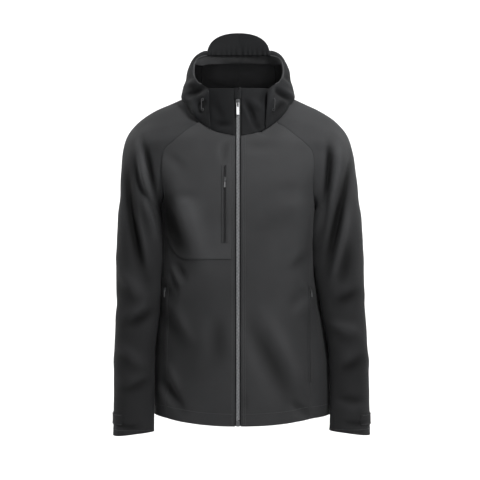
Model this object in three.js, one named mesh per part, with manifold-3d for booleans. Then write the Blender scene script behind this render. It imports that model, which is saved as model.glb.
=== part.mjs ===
// A softshell jacket, filled out as worn: raglan sleeves, a full front zip, a stand collar and a hood.
// Millimetres. +Z is up, the front faces -Y, and +X is the wearer's left. Every cloth piece is a thin
// closed wall: a grid of outer points, the same grid moved inwards, and the four edges between them.

import * as THREE from 'three';
import Module from 'manifold-3d';

const wasm = await Module();
wasm.setup();

// Driving dimensions
const WALL = 2; // thickness of the bonded cloth
const THIN = 1.2; // thickness of tapes, welts and overlays
const SEAM = 0.3; // gap between two pieces at a seam
const LAY = 0.4; // gap between a panel and what lies on it
const ZIP_HALF = 3.9; // half the width of the zip chain
const FRONT_EDGE = 4.4; // where each front ends beside the chain
const TAPE_WIDTH = 14; // one zip tape, from the centre outwards
const SEAM_X = 152; // front and back side seams at the hem, from the centre plane
const SEAM_TOP_X = 160; // and where they meet the armhole
const SEAM_BEND_Z = -420; // below this the side seams stand upright
const ARMHOLE_Z = -205; // where the side seams meet the armhole
const UNDERARM_DIP = 35; // how far the armhole dips below that at the side
const ZIP_TOP_Z = -10; // upper end of the chain, under its garage
const SLIDER_Z = -16;
const CHEST_PANEL_Z = -345; // lower edge of the chest overlay
const CHEST_LINE = { front: -232, back: -225 }; // height of each panel's middle at the armholes
const CHEST_CORNER = { from: 112, to: 150, rise: 55 }; // rounded corner of the chest overlay
const CHEST_ZIP = { x: -27, half: 7, top: -149, foot: -311, slider: -178, thickness: 0.8 };
const HAND_ZIP = { top: -400, foot: -603, half: 4, sliderDrop: 10 };
// A cuff tab's heights, and its first and last column round the sleeve's grid
const CUFF_TAB = { top: -673, foot: -697, thickness: 1.4, lift: 1.9, first: 4.4, last: 15 };
const HEM = { front: -693, frontRise: 19, back: -700, backRise: 26, half: 190, power: 2.2 };
const ZIP_BOX = { height: 11, thickness: 3.4, set: -1.8, corner: 1.5 };

const RIGHT = -1; // the wearer's right, at -X
const LEFT = 1;
const SIDES = [
  { side: RIGHT, label: 'right' },
  { side: LEFT, label: 'left' },
];

const DEGREE = Math.PI / 180;

function table(names, rows) {
  const keys = names.split(' ');
  return rows.map((row) => Object.fromEntries(keys.map((key, i) => [key, row[i]])));
}

// Horizontal sections of the body, widest at the shoulders and nipped in at the chest.
const BODY = table('z half front back shift power', [
  [-710, 191.5, 142, 142, 9.5, 2.4],
  [-640, 192.5, 142, 141, 9.5, 2.4],
  [-540, 188, 141, 138, 8, 2.4],
  [-440, 176, 139, 134, 3, 2.4],
  [-370, 168.1, 138, 134, 0, 2.45],
  [-300, 166.8, 138, 136, 0, 2.5],
  [-240, 168.8, 139, 138, 0, 2.5],
  [-205, 173, 138, 138, 0, 2.5],
  [-150, 198, 133, 136, 0, 2.4],
  [-120, 211, 128, 132, 0, 2.3],
  [-88, 216, 120, 124, 0, 2.15],
  [-50, 207, 89, 112, 0, 2.05],
  [-22, 174, 76, 100, 0, 2],
  [-5, 143, 68, 90, 0, 2],
  [12, 113, 60, 77, 0, 2],
]);

// The neck seam, by angle from the front centre: half-width and height.
const NECK = table('angle x z', [
  [0, 0, -88],
  [25, 48, -77],
  [45, 80, -55],
  [65, 102, -27],
  [80, 111, -7],
  [95, 112.5, 6],
  [115, 102, 11],
  [145, 65, 11],
  [180, 0, 10],
]);
const NECK_FRONT = 47; // where the front raglan seam meets the neck
const NECK_BACK = 140;

// Raglan seams above the side seams: distance from the centre plane at a height.
const RAGLAN_FRONT = table('z x', [
  [-205, 160],
  [-151, 161],
  [-116, 156],
  [-96, 136],
  [-53, 82.5],
]);
const RAGLAN_BACK = table('z x', [
  [-205, 160],
  [-150, 161],
  [-100, 152],
  [-60, 138],
  [-22, 112],
  [10, 72.5],
]);

// Sections of each arm: centre, half-width, half-depth, the tilt of the section across the arm, and
// how far its inner front bulges towards the body.
const ARM = {
  right: table('z x y wide deep tilt bulge', [
    [-716, 226.5, -56, 39.5, 46, -0.14, 9],
    [-640, 223.5, -50, 42.5, 49, -0.06, 7],
    [-540, 221.5, -44, 43.5, 53, 0, 6],
    [-440, 217.5, -34, 44.5, 58, 0.05, 7],
    [-384, 216, -26, 46, 61, 0.12, 8],
    [-300, 215, -14, 46, 67, 0.5, 8.5],
    [-240, 214.1, -4.1, 42.4, 71.1, 1, 7],
    [-212, 214, 0, 41, 73, 1.2, 4],
  ]),
  left: table('z x y wide deep tilt bulge', [
    [-714, 242, -56, 40.5, 46, -0.14, 8],
    [-640, 241, -50, 40.8, 49, -0.06, 7],
    [-540, 236.2, -44, 42.3, 53, 0, 6],
    [-440, 226.5, -34, 47.5, 58, 0.05, 7.5],
    [-384, 221, -26, 50.5, 61, 0.12, 8],
    [-300, 219, -14, 50, 67, 0.5, 9],
    [-240, 216.3, -4.1, 44.1, 71.1, 1, 7.5],
    [-212, 215.5, 0, 41.5, 73, 1.2, 4],
  ]),
};
const ARM_POWER = 2.2;
const BULGE = { turn: 150, before: 36, after: 16 }; // where the bulge is highest, and its reach
const SHOULDER = { right: 1.87, left: 1.78 }; // how square each shoulder is

// Soft folds of the body, each a ridge or a trough between two places on the front or the back.
const BODY_FOLDS = table('face x0 z0 x1 z1 width depth', [
  ['front', -150, -420, -104, -512, 22, 3.5],
  ['front', -160, -600, -118, -655, 16, -3],
  ['front', -45, -470, -42, -560, 26, -2],
  ['front', -132, -352, -112, -386, 14, -2.5],
  ['front', 20, -492, 104, -650, 26, -3],
  ['front', 60, -480, 130, -600, 24, 2.5],
  ['front', 118, -645, 150, -668, 16, -2],
  ['front', 30, -300, 120, -250, 30, -1.5],
  ['back', -120, -330, -20, -380, 26, -3],
  ['back', 110, -300, 20, -352, 24, -3],
  ['back', -90, -470, 60, -520, 30, -2.5],
  ['back', 40, -590, 140, -650, 24, 3],
  ['back', -150, -560, -70, -640, 22, 2.5],
]);

// Soft folds of the arms: angle round the arm (0 outwards, 90 to the front) and height at each end.
const ARM_FOLDS = {
  right: table('a0 z0 a1 z1 width depth', [
    [75, -90, 120, -225, 16, 4.5],
    [60, -85, 95, -215, 15, -4],
    [30, -130, 95, -390, 20, -4.5],
    [75, -205, 120, -300, 14, 4],
    [110, -230, 150, -330, 16, -4],
    [20, -330, 110, -420, 22, 3],
    [340, -300, 250, -400, 24, -3.5],
    [30, -440, 130, -500, 22, -3],
    [200, -420, 300, -480, 22, 3],
    [20, -560, 120, -600, 20, 2.5],
    [300, -520, 220, -600, 22, -3],
    [60, -650, 330, -655, 16, -2],
  ]),
  left: table('a0 z0 a1 z1 width depth', [
    [35, -125, 95, -365, 20, -5],
    [60, -95, 105, -265, 16, 4.5],
    [80, -90, 125, -285, 15, -4],
    [115, -215, 150, -320, 14, 3.5],
    [15, -300, 100, -400, 24, 3],
    [330, -320, 240, -390, 22, -3.5],
    [20, -450, 120, -490, 22, -3],
    [210, -400, 300, -470, 22, 3],
    [10, -545, 110, -590, 20, 2.5],
    [310, -540, 230, -610, 22, -3],
    [50, -648, 320, -652, 16, -2],
  ]),
};

// The hood: for each angle round the neck, the edge of the face opening, and how the cloth leaves
// the neck seam (out, back, up) and reaches that edge (out, back, up).
const HOOD = table('angle x y z outA backA upA outB backB upB', [
  [30, 57, -106, -62, 1, -1, 3, 1, -1, -2],
  [38, 60, -105, -30, 4, -3, 8, 4, -2, -6],
  [47, 62, -101, 6, 8, -5, 14, 8, 1, -10],
  [58, 70, -90, 20, 14, -4, 20, 14, 6, -8],
  [75, 88, -74, 32, 14, 2, 24, 19, 10, -2],
  [95, 97, -48, 56, 13, 12, 22, 21, 24, 10],
  [115, 92, -18, 86, 15, 32, 12, 17, 52, 32],
  [135, 70, 8, 99, 16, 60, -20, 21, 100, 56],
  [155, 42, 22, 102, 10, 84, -50, 18, 150, 62],
  [180, 0, 28, 103, 0, 95, -72, 0, 175, 64],
]);
const HOOD_SEAM = 137; // where each side of the hood meets its centre panel
const HOOD_SHIFT = 1; // the face opening sits a little to the wearer's left
const FACING = { width: 24, lift: -WALL - 0.9 };
const HOOD_FOOT = { out: WALL + 0.7, up: 0.9 }; // how far the hood's foot stands off the neck seam

const PEAK = { height: 50, power: 2.15, lean: 12, gathers: 9, wave: 1.1, rim: 5, taper: 0.02, sink: 2.5 };

// Colours and finish
function finish(color, roughness, metalness = 0) {
  return new THREE.MeshStandardMaterial({ color, roughness, metalness });
}
const shell = finish('#34363a', 0.85);
const sleeveCloth = finish('#2b2d31', 0.85);
const lining = finish('#1d1e21', 0.9);
const zipPlastic = finish('#8d9093', 0.5);
const pullMetal = finish('#d6d8da', 0.35, 0.6);
const eyeletMetal = finish('#4b4d50', 0.4, 0.8);
const cord = finish('#1a1b1d', 0.9);

const jacket = new THREE.Group();

// Reads one named column of a table at a place, as a smooth curve through its rows.
function read(rows, key, at, column) {
  const last = rows.length - 1;
  const place = Math.min(Math.max(at, rows[0][key]), rows[last][key]);
  let i = 0;
  while (i < last - 1 && rows[i + 1][key] < place) i += 1;
  const slope = (k) => {
    const before = rows[Math.max(k - 1, 0)];
    const after = rows[Math.min(k + 1, last)];
    return (after[column] - before[column]) / (after[key] - before[key]);
  };
  const run = rows[i + 1][key] - rows[i][key];
  const s = (place - rows[i][key]) / run;
  const h = 1 - s;
  const start = rows[i][column] * h * h * (1 + 2 * s) + run * slope(i) * s * h * h;
  const end = rows[i + 1][column] * s * s * (1 + 2 * h) - run * slope(i + 1) * s * s * h;
  return start + end;
}

const mix = (a, b, t) => a + (b - a) * t;

function ease(value, from, to) {
  const t = Math.min(Math.max((value - from) / (to - from), 0), 1);
  return t * t * (3 - 2 * t);
}

const rounded = (value, power) => Math.sign(value) * Math.abs(value) ** (2 / power);

// A point of the plain body at an angle from the front centre (positive to the wearer's left).
function bodyPoint(angle, z) {
  const power = read(BODY, 'z', z, 'power');
  const deep = read(BODY, 'z', z, Math.cos(angle) > 0 ? 'front' : 'back');
  const x = read(BODY, 'z', z, 'shift') + read(BODY, 'z', z, 'half') * rounded(Math.sin(angle), power);
  return new THREE.Vector3(x, -deep * rounded(Math.cos(angle), power), z);
}

function bodyNormal(angle, z) {
  const across = bodyPoint(angle + 0.03, z).sub(bodyPoint(angle - 0.03, z));
  const up = bodyPoint(angle, z + 2).sub(bodyPoint(angle, z - 2));
  return across.cross(up).normalize();
}

// The angle at which the body stands at x, on its front or its back.
function angleAt(x, z, face) {
  const across = (x - read(BODY, 'z', z, 'shift')) / read(BODY, 'z', z, 'half');
  const lean = Math.asin(Math.min(Math.abs(across), 1) ** (read(BODY, 'z', z, 'power') / 2));
  const angle = face === 'front' ? lean : Math.PI - lean;
  return Math.sign(across || 1) * angle;
}

// Height of one fold at a place: a soft bell across it, fading out towards both ends.
function foldHeight(fold, u, v, u0, v0, u1, v1) {
  const du = u1 - u0;
  const dv = v1 - v0;
  const length = Math.hypot(du, dv);
  const along = ((u - u0) * du + (v - v0) * dv) / (length * length);
  const off = ((u - u0) * dv - (v - v0) * du) / length;
  if (along < -0.2 || along > 1.2) return 0;
  const fade = Math.cos((Math.PI * (along - 0.5)) / 1.4) ** 2;
  return fold.depth * fade * Math.exp(-((off / fold.width) ** 2));
}

function bodyFolds(point, face) {
  let height = 0;
  for (const fold of BODY_FOLDS) {
    if (fold.face === face) {
      height += foldHeight(fold, point.x, point.z, fold.x0, fold.z0, fold.x1, fold.z1);
    }
  }
  return height;
}

function armFolds(label, degrees, z) {
  let height = 0;
  for (const fold of ARM_FOLDS[label]) {
    const span = fold.a1 - fold.a0;
    const turn = ((degrees - fold.a0 - span / 2 + 540) % 360) - 180 + fold.a0 + span / 2;
    height += foldHeight(fold, turn, z, fold.a0, fold.z0, fold.a1, fold.z1);
  }
  return height;
}

// A place on the body's cloth: its point with the folds, and the way its wall goes in.
function bodyPlace(angle, z) {
  const face = Math.cos(angle) > 0 ? 'front' : 'back';
  const normal = bodyNormal(angle, z);
  const point = bodyPoint(angle, z);
  const sideways = Math.abs(Math.cos(angle)) ** 0.5;
  point.addScaledVector(normal, bodyFolds(point, face) * sideways);
  return { point, normal };
}

// The hem is lowest in the middle and rises towards the sides.
function hemZ(x) {
  return HEM.front + HEM.frontRise * Math.min(Math.abs(x) / HEM.half, 1) ** HEM.power;
}

function backHemZ(x) {
  return HEM.back + HEM.backRise * Math.min(Math.abs(x) / HEM.half, 1) ** HEM.power;
}

// The neck seam at an angle: on the body where a front or the back ends there, and across the
// shoulder between them where a sleeve does.
function neckPlan(degrees) {
  const x = read(NECK, 'angle', degrees, 'x');
  const z = read(NECK, 'angle', degrees, 'z');
  return { x, z };
}

function neckPoint(signedDegrees) {
  const side = Math.sign(signedDegrees) || 1;
  const degrees = Math.abs(signedDegrees);
  const { x, z } = neckPlan(degrees);
  if (degrees <= NECK_FRONT) return bodyPoint(angleAt(side * x, z, 'front'), z);
  if (degrees >= NECK_BACK) return bodyPoint(angleAt(side * x, z, 'back'), z);
  const end = degrees < 90 ? NECK_FRONT : NECK_BACK;
  const plan = neckPlan(end);
  const ends = bodyPoint(angleAt(plan.x, plan.z, degrees < 90 ? 'front' : 'back'), plan.z);
  const y = (ends.y * Math.cos(degrees * DEGREE)) / Math.cos(end * DEGREE);
  return new THREE.Vector3(side * x, y, z);
}

// The height of the neck seam where it passes x, on the front or the back.
function neckZ(x, face) {
  let low = face === 'front' ? 0 : NECK_BACK - 10;
  let high = face === 'front' ? NECK_FRONT + 10 : 180;
  for (let step = 0; step < 30; step += 1) {
    const middle = (low + high) / 2;
    const beyond = neckPlan(middle).x > Math.abs(x);
    if (beyond === (face === 'front')) high = middle;
    else low = middle;
  }
  return neckPlan(low).z;
}

// Closed wall from a grid of outer points and a grid of inner points.
function wallGeometry(outer, inner, ring) {
  const across = outer.length;
  const along = outer[0].length;
  const position = [];
  for (const grid of [outer, inner]) {
    for (const line of grid) {
      for (const point of line) position.push(point.x, point.y, point.z);
    }
  }
  const index = [];
  const back = across * along;
  const at = (i, j) => (i % across) * along + j;
  const face = (a, b, c, d) => index.push(a, b, c, a, c, d);
  // The narrow faces of the edges are split from their higher corner, so two pieces at a seam match.
  const edge = (a, b) => {
    if (position[3 * a + 2] >= position[3 * b + 2]) face(a, b, back + b, back + a);
    else face(b, back + b, back + a, a);
  };
  const columns = ring ? across : across - 1;
  for (let i = 0; i < columns; i += 1) {
    for (let j = 0; j < along - 1; j += 1) {
      face(at(i, j), at(i + 1, j), at(i + 1, j + 1), at(i, j + 1));
      face(back + at(i, j), back + at(i, j + 1), back + at(i + 1, j + 1), back + at(i + 1, j));
    }
    edge(at(i + 1, 0), at(i, 0));
    edge(at(i, along - 1), at(i + 1, along - 1));
  }
  if (!ring) {
    for (let j = 0; j < along - 1; j += 1) {
      edge(at(0, j), at(0, j + 1));
      edge(at(across - 1, j + 1), at(across - 1, j));
    }
  }
  const geometry = new THREE.BufferGeometry();
  geometry.setAttribute('position', new THREE.Float32BufferAttribute(position, 3));
  geometry.setIndex(signedVolume(position, index) < 0 ? index.reverse() : index);
  return geometry;
}

function signedVolume(position, index) {
  const corner = (k) => new THREE.Vector3().fromArray(position, 3 * index[k]);
  let volume = 0;
  for (let k = 0; k < index.length; k += 3) {
    volume += corner(k).dot(corner(k + 1).cross(corner(k + 2)));
  }
  return volume;
}

function add(name, geometry, material, matrix) {
  const mesh = new THREE.Mesh(geometry, material);
  mesh.name = name;
  if (matrix) mesh.applyMatrix4(matrix);
  jacket.add(mesh);
  return mesh;
}

// A cloth piece from a grid of places, drawn in from its border by half a seam's gap.
function clothPiece(name, grid, material, options = {}) {
  const { thickness = WALL, lift = 0, ring = false, trim = SEAM / 2 } = options;
  const inset = ring ? insetRing(grid, trim) : insetBorder(grid, trim);
  const move = (place, distance) => place.point.clone().addScaledVector(place.normal, distance);
  const outer = inset.map((line) => line.map((place) => move(place, lift)));
  const inner = inset.map((line) => line.map((place) => move(place, lift - thickness)));
  return add(name, wallGeometry(outer, inner, ring), material);
}

function insetBorder(grid, distance) {
  const across = grid.length - 1;
  const along = grid[0].length - 1;
  const point = (i, j) => grid[Math.min(Math.max(i, 0), across)][Math.min(Math.max(j, 0), along)].point;
  return grid.map((line, i) => line.map((place, j) => {
    const moved = place.point.clone();
    const alongSeam = point(i, j + 1).clone().sub(point(i, j - 1));
    const acrossSeam = point(i + 1, j).clone().sub(point(i - 1, j));
    if (i === 0 || i === across) {
      const inwards = point(i === 0 ? 1 : across - 1, j).clone().sub(place.point);
      moved.addScaledVector(square(inwards, alongSeam), distance);
    }
    if (j === 0 || j === along) {
      const inwards = point(i, j === 0 ? 1 : along - 1).clone().sub(place.point);
      moved.addScaledVector(square(inwards, acrossSeam), distance);
    }
    return { point: moved, normal: place.normal };
  }));
}

function insetRing(grid, distance) {
  const count = grid.length;
  return grid.map((line, i) => {
    const start = line[0];
    const seam = grid[(i + 1) % count][0].point.clone().sub(grid[(i + count - 1) % count][0].point);
    const inwards = line[1].point.clone().sub(start.point);
    const moved = start.point.clone().addScaledVector(square(inwards, seam), distance);
    return [{ point: moved, normal: start.normal }, ...line.slice(1)];
  });
}

// The part of a direction that is square to another, at unit length.
function square(direction, other) {
  const unit = other.clone().normalize();
  return direction.clone().addScaledVector(unit, -direction.dot(unit)).normalize();
}

// Places part of the way between the lines of a grid, so that what lies on a panel follows its facets.
function between(grid, i, j) {
  const i0 = Math.min(Math.floor(i), grid.length - 2);
  const j0 = Math.min(Math.floor(j), grid[0].length - 2);
  const s = i - i0;
  const t = j - j0;
  const blend = (key) => {
    const low = grid[i0][j0][key].clone().lerp(grid[i0 + 1][j0][key], s);
    const high = grid[i0][j0 + 1][key].clone().lerp(grid[i0 + 1][j0 + 1][key], s);
    return low.lerp(high, t);
  };
  return { point: blend('point'), normal: blend('normal') };
}

// Seams of one side of the body, shared by the pieces on both sides of each
const SEAM_ROWS = 13;
const RAGLAN_ROWS = 7;
const ARMHOLE_COLUMNS = 8;
const NECK_COLUMNS = 5;

function sideSeam(face) {
  const foot = face === 'front' ? hemZ(SEAM_X) : backHemZ(SEAM_X);
  const seam = [];
  for (let j = 0; j <= SEAM_ROWS; j += 1) {
    const z = mix(foot, ARMHOLE_Z, j / SEAM_ROWS);
    seam.push({ x: mix(SEAM_X, SEAM_TOP_X, ease(z, SEAM_BEND_Z, ARMHOLE_Z)), z });
  }
  return seam;
}

function raglanSeam(face) {
  const rows = face === 'front' ? RAGLAN_FRONT : RAGLAN_BACK;
  const top = neckPlan(face === 'front' ? NECK_FRONT : NECK_BACK);
  const seam = [];
  for (let j = 1; j <= RAGLAN_ROWS; j += 1) {
    const z = mix(ARMHOLE_Z, top.z, (j / RAGLAN_ROWS) ** 0.85);
    const x = j === RAGLAN_ROWS ? top.x : read(rows, 'z', z, 'x');
    seam.push({ x, z });
  }
  return seam;
}

const outerSeam = {
  front: [...sideSeam('front'), ...raglanSeam('front')],
  back: [...sideSeam('back'), ...raglanSeam('back')],
};

// Ring where a sleeve is sewn in, from the underarm up the front seam, over the neck and down the back.
function sleeveRing(side) {
  const ring = [];
  const onBody = (angle, z, turn) => {
    const place = bodyPlace(angle, z);
    ring.push({ ...place, z, turn });
  };
  const front = outerSeam.front.slice(SEAM_ROWS);
  const back = outerSeam.back.slice(SEAM_ROWS);
  for (const [j, spot] of front.entries()) {
    onBody(angleAt(side * spot.x, spot.z, 'front'), spot.z, mix(125, 32, j / RAGLAN_ROWS));
  }
  const first = ring[ring.length - 1].normal;
  const last = bodyPlace(angleAt(side * back[RAGLAN_ROWS].x, back[RAGLAN_ROWS].z, 'back'), back[RAGLAN_ROWS].z);
  const crest = new THREE.Vector3(side * 0.36, 0, 0.93).normalize();
  for (let k = 1; k < NECK_COLUMNS; k += 1) {
    const t = k / NECK_COLUMNS;
    const normal = first.clone().multiplyScalar((1 - t) ** 2);
    normal.addScaledVector(crest, 2 * t * (1 - t)).addScaledVector(last.normal, t ** 2).normalize();
    const point = neckPoint(side * mix(NECK_FRONT, NECK_BACK, t));
    ring.push({ point, normal, z: point.z, turn: mix(32, -32, t) });
  }
  for (let j = RAGLAN_ROWS; j >= 0; j -= 1) {
    onBody(angleAt(side * back[j].x, back[j].z, 'back'), back[j].z, mix(-125, -32, j / RAGLAN_ROWS));
  }
  const under = armholeCurve(side);
  for (let k = ARMHOLE_COLUMNS - 1; k > 0; k -= 1) {
    onBody(under[k].angle, under[k].z, -mix(235, 125, k / ARMHOLE_COLUMNS));
  }
  return ring;
}

function armholeCurve(side) {
  const from = angleAt(side * outerSeam.front[SEAM_ROWS].x, ARMHOLE_Z, 'front');
  const to = angleAt(side * outerSeam.back[SEAM_ROWS].x, ARMHOLE_Z, 'back');
  const curve = [];
  for (let k = 0; k <= ARMHOLE_COLUMNS; k += 1) {
    const t = k / ARMHOLE_COLUMNS;
    curve.push({ angle: mix(from, to, t), z: ARMHOLE_Z - UNDERARM_DIP * (1 - (2 * t - 1) ** 2) });
  }
  return curve;
}

// Which way the sleeve leaves each place of its ring, and the mitre that the two walls share there.
function dressRing(ring, side) {
  const outwards = new THREE.Vector3(side, 0, 0);
  const below = new THREE.Vector3(side, 0, -0.45).normalize();
  const count = ring.length;
  return ring.map((place, k) => {
    const seam = ring[(k + 1) % count].point.clone().sub(ring[(k + count - 1) % count].point).normalize();
    const droop = ease(-place.z, 105, 200);
    const leave = square(outwards, place.normal).multiplyScalar(1 - droop);
    leave.addScaledVector(below, droop).normalize();
    const sleeveNormal = seam.clone().cross(leave).normalize();
    const centre = new THREE.Vector3(side * 150, 0, -120);
    if (sleeveNormal.dot(place.point.clone().sub(centre)) < 0) sleeveNormal.negate();
    const mitre = place.normal.clone().add(sleeveNormal);
    mitre.divideScalar(Math.max(1 + place.normal.dot(sleeveNormal), 0.6));
    return { ...place, leave, mitre };
  });
}

const rings = {
  right: dressRing(sleeveRing(RIGHT), RIGHT),
  left: dressRing(sleeveRing(LEFT), LEFT),
};

// Gives the border places of a panel the mitre of the sleeve ring where they meet it.
function shareMitre(grid, label) {
  for (const line of grid) {
    for (const place of line) {
      for (const met of rings[label]) {
        if (place.point.distanceTo(met.point) < 0.01) place.normal = met.mitre;
      }
    }
  }
}

// Front panel: the first columns run straight beside the zip, the rest share the way round the body.
const FRONT_COLUMNS = [FRONT_EDGE, 12.4, -CHEST_ZIP.x - CHEST_ZIP.half, -CHEST_ZIP.x + CHEST_ZIP.half];
const FRONT_REST = 7;

function frontGrid(side, label) {
  const seam = outerSeam.front;
  const top = seam.length - 1;
  const foot = hemZ(0);
  const lift = neckPlan(0).z;
  const centreZ = seam.map((spot, j) => {
    if (j <= SEAM_ROWS) return mix(foot, CHEST_LINE.front, j / SEAM_ROWS);
    return mix(CHEST_LINE.front, lift, (j - SEAM_ROWS) / RAGLAN_ROWS);
  });
  const grid = [];
  for (let i = 0; i < FRONT_COLUMNS.length + FRONT_REST; i += 1) {
    const line = [];
    for (let j = 0; j <= top; j += 1) {
      const edge = seam[j].x;
      let x = FRONT_COLUMNS[i];
      if (i >= FRONT_COLUMNS.length) {
        const inner = angleAt(FRONT_COLUMNS[3], seam[j].z, 'front');
        const outer = angleAt(edge, seam[j].z, 'front');
        const t = (i - FRONT_COLUMNS.length + 1) / FRONT_REST;
        x = t === 1 ? edge : bodyPoint(mix(inner, outer, t), seam[j].z).x;
      }
      const u = (x - FRONT_EDGE) / (edge - FRONT_EDGE);
      const v = j / top;
      const straight = mix(centreZ[j], seam[j].z, u);
      const atHem = hemZ(x) - mix(centreZ[0], seam[0].z, u);
      const atNeck = neckZ(Math.min(x, seam[top].x), 'front') - mix(centreZ[top], seam[top].z, u);
      const z = u === 1 ? seam[j].z : straight + (1 - v) ** 2 * atHem + v ** 3 * atNeck;
      line.push(bodyPlace(angleAt(side * x, z, 'front'), z));
    }
    grid.push(line);
  }
  shareMitre(grid, label);
  return grid;
}

function sideGrid(side, label) {
  const arm = armholeCurve(side);
  const grid = [];
  for (let k = 0; k <= ARMHOLE_COLUMNS; k += 1) {
    const t = k / ARMHOLE_COLUMNS;
    const line = [];
    for (let j = 0; j <= SEAM_ROWS; j += 1) {
      const front = outerSeam.front[j];
      const back = outerSeam.back[j];
      const from = angleAt(side * front.x, front.z, 'front');
      const to = angleAt(side * back.x, back.z, 'back');
      const v = j / SEAM_ROWS;
      const z = mix(front.z, back.z, t) + v ** 2 * (arm[k].z - ARMHOLE_Z);
      const bow = (1 - v) ** 2 * 4 * t * (1 - t) * 3;
      line.push(bodyPlace(mix(from, to, t), z + bow));
    }
    grid.push(line);
  }
  shareMitre(grid, label);
  return grid;
}

const BACK_COLUMNS = 16;

function backGrid() {
  const seam = outerSeam.back;
  const top = seam.length - 1;
  const grid = [];
  for (let i = 0; i <= BACK_COLUMNS; i += 1) {
    const u = i / BACK_COLUMNS;
    const fromCentre = Math.abs(2 * u - 1);
    const side = u < 0.5 ? RIGHT : LEFT;
    const line = [];
    for (let j = 0; j <= top; j += 1) {
      const edge = seam[j];
      const centre = j <= SEAM_ROWS ? mix(backHemZ(0), CHEST_LINE.back, j / SEAM_ROWS)
        : mix(CHEST_LINE.back, neckPlan(180).z, (j - SEAM_ROWS) / RAGLAN_ROWS);
      const lean = angleAt(edge.x, edge.z, 'back');
      const x = fromCentre === 1 ? edge.x : bodyPoint(mix(Math.PI, lean, fromCentre), edge.z).x
        - read(BODY, 'z', edge.z, 'shift');
      const v = j / top;
      const t = (x / edge.x) ** 2;
      const atHem = backHemZ(x) - mix(backHemZ(0), edge.z, t);
      const atNeck = neckZ(x, 'back') - mix(neckPlan(180).z, seam[top].z, t);
      const z = fromCentre === 1 ? edge.z
        : mix(centre, edge.z, t) + (j === 0 ? atHem : 0) + v ** 3 * (j === top ? atNeck : 0);
      line.push(bodyPlace(angleAt(side * x, z, 'back'), z));
    }
    grid.push(line);
  }
  shareMitre(grid, 'right');
  shareMitre(grid, 'left');
  return grid;
}

// How much of an arm's bulge stands at an angle round it: a bell that falls off faster at the back.
function bulgeShare(degrees) {
  const off = ((degrees + 720) % 360) - BULGE.turn;
  const reach = off < 0 ? BULGE.before : BULGE.after;
  return Math.exp(-((off / reach) ** 2));
}

// A place on an arm at an angle round it and a height of its section.
function armPlace(label, side, degrees, z) {
  const column = (name) => read(ARM[label], 'z', z, name);
  const turn = degrees * DEGREE;
  const out = column('wide') * rounded(Math.cos(turn), ARM_POWER);
  const forward = column('deep') * rounded(Math.sin(turn), ARM_POWER);
  const x = column('x') + out - column('bulge') * bulgeShare(degrees);
  return new THREE.Vector3(side * x, column('y') - forward, z + column('tilt') * out);
}

const CAP_ROWS = 6;
const ARM_HEIGHTS = [-212, -238, -266, -296, -330, -366, -402, -440, -480, -520, -560, -600, -640];

function sleeveGrid(side, label) {
  const heights = [...ARM_HEIGHTS, CUFF_TAB.top, CUFF_TAB.foot, read(ARM[label], 'z', -900, 'z')];
  return rings[label].map((start) => {
    const line = [{ point: start.point.clone(), normal: start.mitre }];
    const top = armPlace(label, side, start.turn, heights[0]);
    const next = armPlace(label, side, start.turn, heights[0] - 12);
    const down = next.clone().sub(top).normalize();
    const chord = top.distanceTo(start.point);
    const high = ease(Math.cos(start.turn * DEGREE), -0.3, 1);
    const leave = start.leave.clone().multiplyScalar(chord * mix(1, SHOULDER[label], high) / 3);
    const arrive = down.clone().multiplyScalar(chord * mix(1, 1.37, high) / 3);
    const curve = new THREE.CubicBezierCurve3(
      start.point,
      start.point.clone().add(leave),
      top.clone().sub(arrive),
      top,
    );
    for (let j = 1; j < CAP_ROWS; j += 1) {
      const t = j / CAP_ROWS;
      line.push({ point: curve.getPoint(t), fold: ease(t, 0, 1) });
    }
    for (const z of heights) line.push({ point: armPlace(label, side, start.turn, z), fold: 1 });
    return line;
  });
}

// Fills in the normals of a closed grid from its neighbours, then moves its points by the arm's folds.
function finishSleeve(grid, label) {
  const count = grid.length;
  const rows = grid[0].length;
  const normals = grid.map((line, k) => line.map((place, j) => {
    if (j === 0) return place.normal;
    const around = grid[(k + 1) % count][j].point.clone().sub(grid[(k + count - 1) % count][j].point);
    const down = line[Math.min(j + 1, rows - 1)].point.clone().sub(line[j - 1].point);
    return around.cross(down).normalize();
  }));
  const first = normals[0][CAP_ROWS + 3];
  const outward = grid[0][CAP_ROWS + 3].point.clone().sub(grid[Math.floor(count / 2)][CAP_ROWS + 3].point);
  const sign = Math.sign(first.dot(outward));
  return grid.map((line, k) => line.map((place, j) => {
    if (j === 0) return place;
    const normal = normals[k][j].multiplyScalar(sign);
    const turn = rings[label][k].turn;
    const height = armFolds(label, turn, place.point.z) * place.fold;
    return { point: place.point.clone().addScaledVector(normal, height), normal };
  }));
}

const grids = {
  right: { front: frontGrid(RIGHT, 'right'), side: sideGrid(RIGHT, 'right') },
  left: { front: frontGrid(LEFT, 'left'), side: sideGrid(LEFT, 'left') },
  back: backGrid(),
};

// Collar: a stand from the neck seam up to its top edge, on each front
const COLLAR_END = 78; // the stand ends under the hood
const COLLAR_ROWS = 6;
const COLLAR_TOP = { half: 99, front: 105, z: 15, rise: 8 };
const COLLAR_GAP = 0.45; // from the neck seam up to the stand

function collarPoint(signedDegrees, t) {
  const side = Math.sign(signedDegrees) || 1;
  const turn = Math.abs(signedDegrees) * DEGREE;
  const x = side * COLLAR_TOP.half * rounded(Math.sin(turn), 2.1);
  const y = -COLLAR_TOP.front * rounded(Math.cos(turn), 2.1);
  const z = COLLAR_TOP.z + COLLAR_TOP.rise * (1 - Math.cos(turn));
  const base = neckPoint(signedDegrees);
  base.z += COLLAR_GAP;
  return base.lerp(new THREE.Vector3(x, y, z), t);
}

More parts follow.
